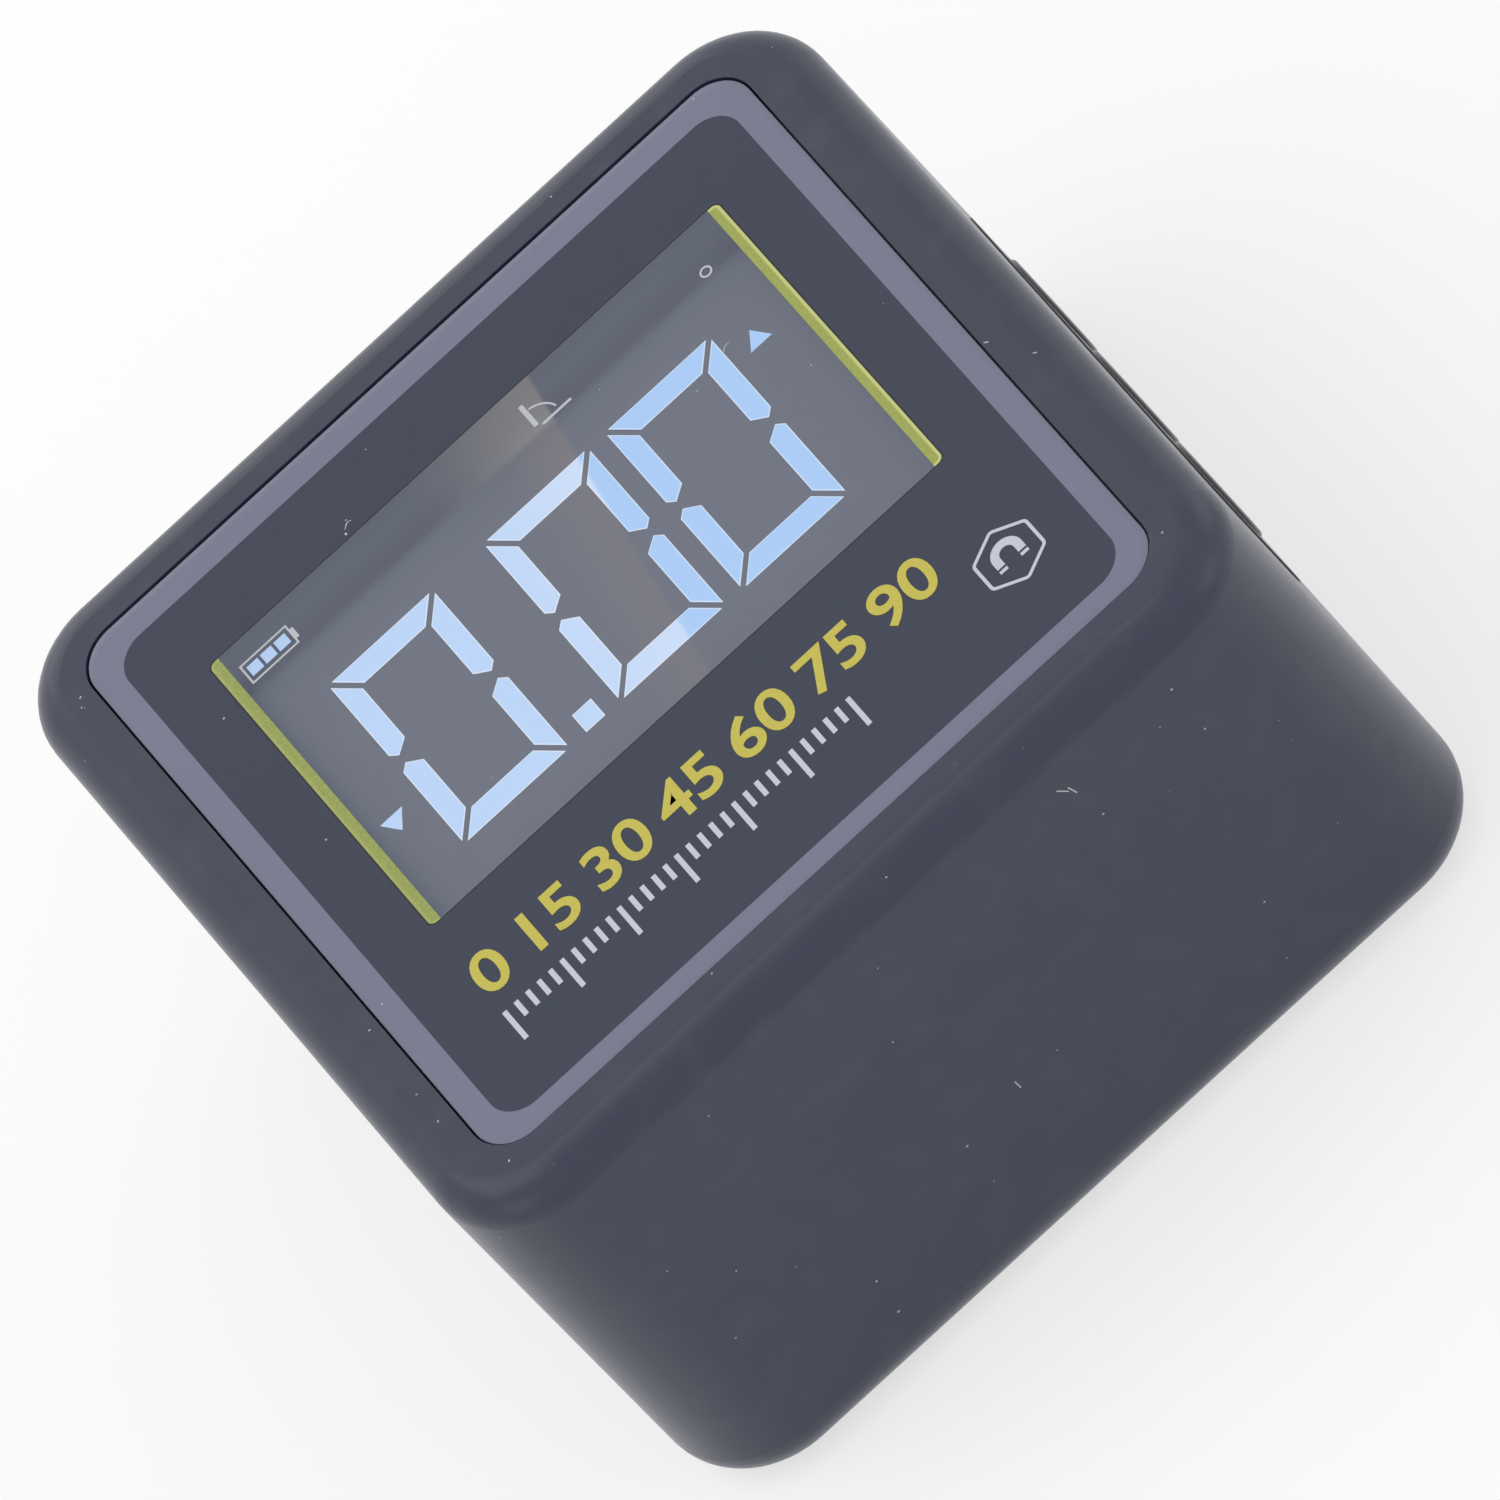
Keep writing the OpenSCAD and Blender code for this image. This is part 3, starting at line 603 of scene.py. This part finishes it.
def oblong(left, foot, width, height):
    """Corners of an upright oblong, anticlockwise."""
    right, top = left + width, foot + height
    return np.array([[left, foot], [right, foot], [right, top], [left, top]])


def slabs(outlines, low, high):
    """Flat signs of little height: each outline, anticlockwise, is repeated at two heights, with walls
    between."""
    return joined([
        (np.concatenate([at_height(outline, low), at_height(outline, high)]), solid_faces(2, len(outline)))
        for outline in outlines
    ])


def ribbon(path, width, low, high, closed=False):
    """Flat stroke of even width: an oblong profile carried along a path, moved at each point along the
    normal of the path, and further at a corner so that the stroke keeps its width."""
    path = np.asarray(path, float)
    ahead, behind = np.roll(path, -1, 0) - path, path - np.roll(path, 1, 0)
    if not closed:
        ahead[-1], behind[0] = behind[-1], ahead[0]
    ahead /= np.linalg.norm(ahead, axis=1)[:, None]
    behind /= np.linalg.norm(behind, axis=1)[:, None]
    along = ahead + behind
    along /= np.linalg.norm(along, axis=1)[:, None]
    normal = np.stack([-along[:, 1], along[:, 0]], -1)
    reach = width / 2 / np.clip(np.sum(along * ahead, 1), 0.35, 1)[:, None]
    left, right = path + normal * reach, path - normal * reach
    corners = ((right, low), (right, high), (left, high), (left, low))
    profile = np.stack([at_height(edge, height) for edge, height in corners], 1)
    faces = [face[::-1] for face in grid_faces(len(path), 4, wrap_rows=closed)]
    if not closed:
        last = 4 * (len(path) - 1)
        faces += [[0, 1, 2, 3], [last + 3, last + 2, last + 1, last]]
    return profile.reshape(-1, 3), faces


def tube(path, radius, sides=6):
    """Round fibre: a circle carried along a path in space, in the plane across the path, thinner to both
    ends."""
    path = np.asarray(path, float)
    along = np.gradient(path, axis=0)
    along /= np.linalg.norm(along, axis=1)[:, None]
    across = np.cross(along, [0.31, 0.17, 0.93])
    across /= np.linalg.norm(across, axis=1)[:, None]
    upward = np.cross(along, across)
    angle = np.linspace(0, 2 * np.pi, sides, endpoint=False)[None, :, None]
    taper = radius * (0.35 + 0.65 * np.sin(np.linspace(0.15, np.pi - 0.15, len(path))))
    ring = np.cos(angle) * across[:, None] + np.sin(angle) * upward[:, None]
    points = path[:, None] + ring * taper[:, None, None]
    return points.reshape(-1, 3), solid_faces(len(path), sides)


def drawn_in(outline, distance):
    """Smaller outline inside a convex one, anticlockwise: each corner moves to where its two edges meet
    after both have moved inwards by the distance."""
    outline = np.asarray(outline, float)
    ahead = np.roll(outline, -1, 0) - outline
    ahead /= np.linalg.norm(ahead, axis=1)[:, None]
    behind = np.roll(ahead, 1, 0)
    both = ahead + behind
    inward = np.stack([-both[:, 1], both[:, 0]], -1)
    return outline + inward * distance / (1 + np.sum(ahead * behind, 1))[:, None]


def mirrored(outline, axis, size):
    """An outline mirrored along one axis of a box of the given size, and still anticlockwise."""
    turned = np.array(outline)[::-1]
    turned[:, axis] = size - turned[:, axis]
    return turned


class GAUGE_OT_finishes(bpy.types.Operator):
    """Gives every CAD node a finish by its material slot."""

    bl_idname = "gauge.finishes"
    bl_label = "Finishes"

    def execute(self, context):
        plastics, display = context.scene.gauge_plastics, context.scene.gauge_display
        made = {slot: grained_finish(*row) for slot, row in PLAIN_FINISHES.items()}
        made["shell"] = satin_finish("satin_shell", plastics.shell, plastics, lint=self.lint())
        made["cover"] = satin_finish("satin_cover", shade(plastics.shell, 0.93), plastics, 0.8)
        made["key_rubber"] = satin_finish("key_rubber", plastics.keys, plastics, 0.6)
        made["key_strip"] = satin_finish("key_strip", plastics.strip, plastics, 0.6)
        made["display_glass"] = glass_finish("display_ground", tuple(display.glass), tuple(display.leak))
        made["board"] = board_finish("circuit_board")
        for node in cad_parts.values():
            for held in node.material_slots:
                held.material = made[held.material.name]
        return {"FINISHED"}

    @staticmethod
    def lint():
        """Marks of the grains and fibres that lie on the rim and the base: for each its place in the
        plane of the rim or the base, half its reach, its turn and its radius, in millimetres and
        radians."""
        rim = [
            (-23.8, -10.5, 0.03, 0.0, 0.06), (-24.15, -18.5, 0.03, 0.6, 0.06),
            (-22.7, -23.9, 0.03, 1.2, 0.07), (-24.0, 21.0, 0.04, 0.4, 0.06),
            (-24.3, 20.4, 0.02, 0.0, 0.05), (23.48, -4.03, 0.12, -0.75, 0.05),
            (23.7, -22.3, 0.03, 0.3, 0.06), (25.0, -6.9, 0.1, -0.7, 0.05),
        ]
        base = [
            (-1.1, 11.6, 0.3, 1.6, 0.045), (10.99, 25.74, 0.36, -0.95, 0.05),
            (11.4, 25.3, 0.36, -1.35, 0.05), (-13.4, 7.8, 0.03, 0.8, 0.06),
            (-4.2, 20.4, 0.02, 0.0, 0.05), (14.6, 9.2, 0.03, 0.2, 0.055),
            (-18.2, 15.6, 0.02, 1.6, 0.05), (11.7, 22.4, 0.02, 0.0, 0.065),
        ]
        planes = (
            (rim, Vector((0, 0, HOUSING_HIGH.z)), Vector((0, 1, 0))),
            (base, Vector((0, HOUSING_LOW.y, 0)), Vector((0, 0, 1))),
        )
        right = Vector((1, 0, 0))
        marks = []
        for places, foot, upward in planes:
            for x, rise, reach, turn, radius in places:
                middle = foot + x * MM * right + rise * MM * upward
                along = reach * MM * (math.cos(turn) * right + math.sin(turn) * upward)
                marks.append((middle - along, middle + along, radius * MM))
        return marks


class GAUGE_OT_panel(bpy.types.Operator):
    """Makes the clear printed panel: rings of one rounded rectangle, drawn in along a softened edge."""

    bl_idname = "gauge.panel"
    bl_label = "Printed panel"

    def execute(self, context):
        ink, plastics = context.scene.gauge_print, context.scene.gauge_plastics
        width, height = LENS_HIGH.x - LENS_LOW.x, LENS_HIGH.y - LENS_LOW.y
        edge, radius = 0.04 * MM, 2.5 * MM
        back_inset, face_inset = 0.6 * MM, 0.5 * MM
        bend = np.linspace(0, np.pi / 2, 4)
        inset = [back_inset, 0.0, *(edge * (1 - np.cos(bend))), face_inset]
        level = [LENS_LOW.z, LENS_LOW.z, *(LENS_HIGH.z - edge + edge * np.sin(bend)), LENS_HIGH.z]
        rings = [
            at_height(rounded_ring(width - 2 * d, height - 2 * d, radius - d), z)
            for d, z in zip(inset, level)
        ]
        new_piece(
            "printed_panel", np.concatenate(rings), solid_faces(len(rings), len(rings[0])),
            panel_finish("printed_panel", ink, plastics), "case", slot="panel", stands_for=("display_lens",),
        )
        return {"FINISHED"}


class GAUGE_OT_print(bpy.types.Operator):
    """Makes the raised ink on the panel: degree numerals, a row of ticks and a horseshoe magnet in a
    six-sided sign."""

    bl_idname = "gauge.print"
    bl_label = "Numerals, ticks and sign"

    def execute(self, context):
        ink = context.scene.gauge_print
        low, high = LENS_HIGH.z - INK_SUNK, LENS_HIGH.z + INK_PROUD
        bold, thin = ink_finish("bold_ink", tuple(ink.bold_ink)), ink_finish("thin_ink", tuple(ink.thin_ink))

        box = ((ink.numeral_left, ink.numeral_low, low), (ink.numeral_right, ink.numeral_top, high))
        numerals = self.numerals(context, "0 15 30 45 60 75 90", box)
        new_piece("degree_numerals", *numerals, bold, "case", slot="panel")

        ticks, long_every = 31, 5
        lefts = np.linspace(ink.numeral_left, ink.tick_right - ink.tick_width, ticks)
        half_way = (ink.tick_low + ink.tick_top) / 2
        feet = np.where(np.arange(ticks) % long_every == 0, ink.tick_low, half_way)
        row = [oblong(left, foot, ink.tick_width, ink.tick_top - foot) for left, foot in zip(lefts, feet)]
        new_piece("tick_row", *slabs(row, low, high), thin, "case", slot="panel")

        new_piece("magnet_sign", *self.magnet_sign(ink, low, high), thin, "case", slot="panel")
        return {"FINISHED"}

    @staticmethod
    def numerals(context, text, box):
        """Numerals as a solid: the text's own mesh, its equal points made one, stretched from its own box
        into the box given by two corners."""
        words = bpy.data.curves.new("numerals", "FONT")
        words.body = text
        words.extrude = 0.1
        words.offset = 0.016
        words.resolution_u = 6
        words.space_word = 0.75
        holder = bpy.data.objects.new("numerals", words)
        context.scene.collection.objects.link(holder)
        context.view_layer.update()
        mesh = bpy.data.meshes.new_from_object(holder.evaluated_get(context.evaluated_depsgraph_get()))
        points = np.empty(len(mesh.vertices) * 3)
        mesh.vertices.foreach_get("co", points)
        points, same = np.unique(points.reshape(-1, 3).round(5), axis=0, return_inverse=True)
        same = same.ravel()
        faces = [list(dict.fromkeys(same[list(face.vertices)].tolist())) for face in mesh.polygons]
        bpy.data.objects.remove(holder)
        bpy.data.meshes.remove(mesh)
        start, end = np.array(box)
        share = (points - points.min(0)) / (points.max(0) - points.min(0))
        return start + share * (end - start), [face for face in faces if len(face) > 2]

    @staticmethod
    def magnet_sign(ink, low, high):
        """Horseshoe magnet in a six-sided outline: half a circle with two straight legs, a foot under each
        leg, and a hexagon with short arcs about centres inside its corners."""
        middle = np.array([ink.sign_x, ink.sign_y])
        reach, radius = 0.475 * ink.sign_size, 0.07 * ink.sign_size
        corner = (np.arange(6) * np.pi / 3 + np.pi / 2)[:, None]
        turn = corner + np.linspace(-np.pi / 6, np.pi / 6, 5)
        inner = reach - radius / np.cos(np.pi / 6)
        x = inner * np.cos(corner) + radius * np.cos(turn)
        y = inner * np.sin(corner) + radius * np.sin(turn)
        outline = middle + np.stack([x.ravel(), y.ravel()], -1)

        span = 0.165 * ink.sign_size
        broad, leg = 0.72 * span, 0.7 * span
        bow = np.linspace(0, np.pi, 25)
        arc = np.stack([span * np.cos(bow), span * np.sin(bow)], -1)
        legs = np.concatenate([[[span, -leg]], arc, [[-span, -leg]]]) + middle + [0, 0.3 * span]
        foot_left, foot_low = middle - [broad / 2, 0.92 * span]
        feet = [oblong(foot_left + side * span, foot_low, broad, 0.3 * span) for side in (-1, 1)]
        return joined([
            ribbon(outline, 0.044 * ink.sign_size, low, high, closed=True),
            ribbon(legs, broad, low, high),
            slabs(feet, low, high),
        ])


class GAUGE_OT_display(bpy.types.Operator):
    """Makes the lit strokes of the display: three digits with a point, two arrows, the cell sign with its
    blocks, a degree ring and an angle sign."""

    bl_idname = "gauge.display"
    bl_label = "Lit display"

    def execute(self, context):
        d = context.scene.gauge_display
        low, high = CELL_HIGH.z - 0.01 * MM, CELL_HIGH.z + 0.02 * MM
        lit = lit_finish("lit_strokes", tuple(d.lit), 1.02)
        # The digit rims take part of the painted reflection, the small signs none of it.
        rim = lit_finish("lit_rims", tuple(d.rim), reflection_share=0.4)
        pale = lit_finish("lit_signs", (0.55, 0.57, 0.60), reflection_share=0.0)

        digit_lefts = (-13.90 * MM, -2.97 * MM, 5.57 * MM)
        strokes = [stroke for left in digit_lefts for stroke in self.digit(left, d)]
        strokes.append(oblong(-5.36 * MM, d.digit_foot, 1.32 * MM, 1.56 * MM))
        new_piece("lit_digit_rims", *slabs(strokes, low, high), rim, "case", slot="display_glass")
        cores = [drawn_in(stroke, d.rim_width) for stroke in strokes]
        core_low, core_high = high - 0.005 * MM, high + 0.01 * MM
        new_piece("lit_digits", *slabs(cores, core_low, core_high), lit, "case", slot="display_glass")

        right = np.array([[14.02, 8.57], [15.47, 8.57], [14.72, 9.85]]) * MM
        left = np.array([[-16.61, 1.50], [-15.86, 0.22], [-15.10, 1.50]]) * MM
        blocks = [oblong((-16.52 + 0.95 * i) * MM, 15.58 * MM, 0.77 * MM, 0.78 * MM) for i in range(3)]
        signs = slabs([right, left, *blocks], low, high)
        new_piece("lit_arrows", *signs, lit, "case", slot="display_glass")

        turn = np.linspace(0, 2 * np.pi, 32, endpoint=False)
        ring = np.array([15.05, 15.07]) * MM + 0.32 * MM * np.stack([np.cos(turn), np.sin(turn)], -1)
        cell = oblong(-16.75 * MM, 15.21 * MM, 3.17 * MM, 1.48 * MM)
        cap = oblong(-13.58 * MM, 15.5 * MM, 0.26 * MM, 0.8 * MM)
        corner = np.array([3.16, 14.9]) * MM
        bow = np.radians(np.linspace(14, 81, 13))
        sweep = corner + 1.49 * MM * np.stack([np.cos(bow), np.sin(bow)], -1)
        line = d.fine_line
        new_piece("lit_signs", *joined([
            ribbon(ring, line, low, high, closed=True),
            ribbon(cell, line, low, high, closed=True),
            ribbon([corner + [0, 0.23 * MM], corner + [0, 2.04 * MM]], 2.6 * line, low, high),
            ribbon([corner + [0.3 * MM, 0], corner + [2.28 * MM, 0]], 1.4 * line, low, high),
            ribbon(sweep, line, low, high),
            slabs([cap], low, high),
        ]), pale, "case", slot="display_glass")
        return {"FINISHED"}

    @staticmethod
    def digit(left, d):
        """Six strokes of a nought: mitred at the outer corners, drawn to a point where two uprights
        meet."""
        wide, tall, broad, gap = d.digit_width, d.digit_height, d.upright, d.split * 0.7
        under, tip = tall - d.level, tall / 2 + d.split * 0.95
        level = np.array([
            [gap, tall], [broad + gap, under], [wide - broad - gap, under], [wide - gap, tall],
        ])
        upright = np.array([
            [0, tall - gap], [0, tip + 0.36 * broad], [0.34 * broad, tip], [broad, tip + 0.55 * broad],
            [broad, under - gap],
        ])
        upper = [level, upright, mirrored(upright, 0, wide)]
        lower = [mirrored(shape, 1, tall) for shape in upper]
        return [shape + [left, d.digit_foot] for shape in upper + lower]


class GAUGE_OT_contacts(bpy.types.Operator):
    """Makes the row of contacts on both faces of the charging socket's tongue."""

    bl_idname = "gauge.contacts"
    bl_label = "Socket contacts"

    def execute(self, context):
        gold = grained_finish(
            "gilt_contacts", (0.62, 0.42, 0.14), (0.75, 0.53, 0.20), 0.1, 0.28, 1.0, 0.004
        )
        count, pitch, wide = 12, 0.5 * MM, 0.26 * MM
        mouth, end = TONGUE_LOW.x + 0.35 * MM, TONGUE_HIGH.x - 1.7 * MM
        places = (np.arange(count) - (count - 1) / 2) * pitch
        strips = [oblong(mouth, y - wide / 2, end - mouth, wide) for y in places]
        middle, half = (TONGUE_LOW.z + TONGUE_HIGH.z) / 2, 0.35 * MM
        sunk, proud = 0.01 * MM, 0.04 * MM
        new_piece("socket_contacts", *joined([
            slabs(strips, middle + half - sunk, middle + half + proud),
            slabs(strips, middle - half - proud, middle - half + sunk),
        ]), gold, "case", slot="socket_metal")
        return {"FINISHED"}


class GAUGE_OT_lint(bpy.types.Operator):
    """Makes the few fibres and grains of dust that lie on the panel."""

    bl_idname = "gauge.lint"
    bl_label = "Lint"

    def execute(self, context):
        pale = ink_finish("lint", tuple(context.scene.gauge_plastics.dust))
        fibres = [(13.2, 8.3, 0.38, 0.56, 0.35, 0.022), (-7.6, 17.3, 0.30, 0.4, 0.45, 0.030)]
        grains = [
            (-7.97, 16.86, 0.085), (-7.5, 17.6, 0.05), (20.6, 23.1, 0.06), (15.95, 3.28, 0.04),
            (10.64, 7.41, 0.04), (-22.43, -9.66, 0.055), (-4.3, 20.4, 0.04), (6.9, 12.2, 0.035),
        ]
        fibres += [(x, y, size, x, 0.2, 0.8 * size) for x, y, size in grains]
        new_piece("lint_fibres", *joined([self.thread(*fibre) for fibre in fibres]), pale, "case")
        return {"FINISHED"}

    @staticmethod
    def thread(x, y, reach, turn, bend, radius):
        """Thread that lies on the panel, in millimetres: a shallow bow about its middle, turned by an
        angle, thick in its middle, thin at its ends, and pressed flat so that it stays inside the model's
        own box."""
        flatness = 0.6
        t = np.linspace(-1, 1, 11)
        along, across = reach * t, reach * (bend * (0.5 - t ** 2) + 0.08 * np.sin(4 * t))
        path = np.stack([
            x + along * np.cos(turn) - across * np.sin(turn),
            y + along * np.sin(turn) + across * np.cos(turn),
            np.zeros(len(t)),
        ], -1)
        points, faces = tube(path, radius)
        points[:, 2] *= flatness
        return points * MM + [0, 0, LENS_HIGH.z], faces


class GAUGE_OT_stage(bpy.types.Operator):
    """Sets the pale floor, the soft light and the camera at the photograph's angle."""

    bl_idname = "gauge.stage"
    bl_label = "Stage"

    def execute(self, context):
        stage, scene = context.scene.gauge_stage, context.scene
        scene.view_settings.view_transform = "Standard"
        self.floor(stage)
        self.world(stage)
        boxes = (
            ("key_box", (-0.5, 0.2, 1.1), 1.0, stage.key),
            ("left_box", (-1.15, -0.85, 0.4), 0.8, stage.fill),
            ("right_box", (1.15, -0.85, 0.4), 0.8, stage.fill),
            ("side_box", (1.2, 0.5, 0.5), 0.7, stage.side),
            ("rear_box", (-0.06, 0.40, 0.20), 0.22, stage.rear),
        )
        for box in boxes:
            self.soft_box(*box)
        self.camera(scene, stage)
        return {"FINISHED"}

    @staticmethod
    def floor(stage):
        """Round floor: circles of growing radius at one height, just under the rear face. It is a dull
        surface to the light, and to seen rays a pale one that glows, so that it is white outside the
        shadow."""
        steps, height = 64, -0.05 * MM
        angle = np.linspace(0, 2 * np.pi, steps, endpoint=False)
        circle = np.stack([np.cos(angle), np.sin(angle)], -1)
        circles = [at_height(radius * circle, height) for radius in (0.02, 0.08, 0.2, 0.5, 1.0, 1.6)]
        faces = [face[::-1] for face in grid_faces(len(circles), steps)] + [list(range(steps))]

        f = Finish("pale_floor")
        cloud = f.noise(0.05, 2.0)
        rays = f.seen_rays()
        base = f.mix(cloud, shade(stage.floor, 0.995), shade(stage.floor, 1.005))
        material = f.surface(
            Base_Color=f.mix(rays, base, shade(stage.floor, 0.42)), Roughness=0.9, Specular_IOR_Level=0.0,
            Emission_Color=f.mix(rays, (0.0, 0.0, 0.0), (0.64, 0.64, 0.64)), Emission_Strength=1.0,
        )
        mesh = bpy.data.meshes.new("floor")
        mesh.from_pydata(np.concatenate(circles).tolist(), [], faces)
        mesh.materials.append(material)
        ground = bpy.data.objects.new("floor", mesh)
        bpy.context.scene.collection.objects.link(ground)

    @staticmethod
    def world(stage):
        """Even light from all round; what the camera, gloss and glass see of it is white."""
        f = Finish("soft_room", "worlds")
        strength = stage.ambient + f.seen_rays() * (1 - stage.ambient)
        light = f.node("ShaderNodeBackground", None, {"Color": (1, 1, 1), "Strength": strength})
        f.node("ShaderNodeOutputWorld", None, {"Surface": light})
        bpy.context.scene.world = f.owner

    @staticmethod
    def soft_box(name, place, size, power):
        """Square soft box that faces the middle of the gauge."""
        middle = Vector((0, 0, 15 * MM))
        light = bpy.data.lights.new(name, "AREA")
        light.shape, light.size, light.energy = "SQUARE", size, power
        lamp = bpy.data.objects.new(name, light)
        lamp.location = place
        lamp.rotation_mode = "QUATERNION"
        lamp.rotation_quaternion = (middle - Vector(place)).to_track_quat("-Z", "Y")
        bpy.context.scene.collection.objects.link(lamp)

    @staticmethod
    def camera(scene, stage):
        """Camera on the line from the gauge at the given azimuth and elevation, rolled about that line,
        and moved in its own plane so that the gauge stands where the photograph has it."""
        a, e, roll = (math.radians(angle) for angle in (stage.azimuth, stage.elevation, stage.roll))
        right = Vector((math.cos(a), math.sin(a), 0))
        back = Vector((math.sin(a) * math.cos(e), -math.cos(a) * math.cos(e), math.sin(e)))
        up = back.cross(right)
        across = right * math.cos(roll) - up * math.sin(roll)
        upward = right * math.sin(roll) + up * math.cos(roll)
        data = bpy.data.cameras.new("camera")
        data.lens, data.sensor_width, data.clip_end = stage.lens, 36.0, 20.0
        camera = bpy.data.objects.new("camera", data)
        place = Vector((0, 0, stage.aim_height)) + back * stage.distance
        place += upward * stage.shift_down - across * stage.shift_right
        camera.matrix_world = Matrix((across, upward, back)).transposed().to_4x4()
        camera.location = place
        scene.collection.objects.link(camera)
        scene.camera = camera


PIECES = (
    GAUGE_OT_finishes, GAUGE_OT_panel, GAUGE_OT_print, GAUGE_OT_display, GAUGE_OT_contacts,
    GAUGE_OT_lint, GAUGE_OT_stage,
)
GROUPS = {
    "gauge_plastics": GaugePlastics, "gauge_print": GaugePrint, "gauge_display": GaugeDisplay,
    "gauge_stage": GaugeStage,
}


class GAUGE_PT_looks(bpy.types.Panel):
    """Lists the pieces and the stage, and the sizes and colours that a user may change."""

    bl_idname = "GAUGE_PT_looks"
    bl_label = "Angle gauge"
    bl_space_type = "VIEW_3D"
    bl_region_type = "UI"
    bl_category = "Angle Gauge"

    def draw(self, context):
        for piece in PIECES:
            self.layout.operator(piece.bl_idname)
        for name, group in GROUPS.items():
            box = self.layout.box()
            for key in group.__annotations__:
                box.prop(getattr(context.scene, name), key)


def register():
    for group in GROUPS.values():
        bpy.utils.register_class(group)
    for name, group in GROUPS.items():
        setattr(bpy.types.Scene, name, bpy.props.PointerProperty(type=group))
    for made in (*PIECES, GAUGE_PT_looks):
        bpy.utils.register_class(made)


def unregister():
    for made in (GAUGE_PT_looks, *reversed(PIECES)):
        bpy.utils.unregister_class(made)
    for name in GROUPS:
        delattr(bpy.types.Scene, name)
    for group in GROUPS.values():
        bpy.utils.unregister_class(group)


def main():
    register()
    bpy.ops.gauge.finishes()
    bpy.ops.gauge.panel()
    bpy.ops.gauge.print()
    bpy.ops.gauge.display()
    bpy.ops.gauge.contacts()
    bpy.ops.gauge.lint()
    bpy.ops.gauge.stage()


if __name__ == "__main__":
    main()
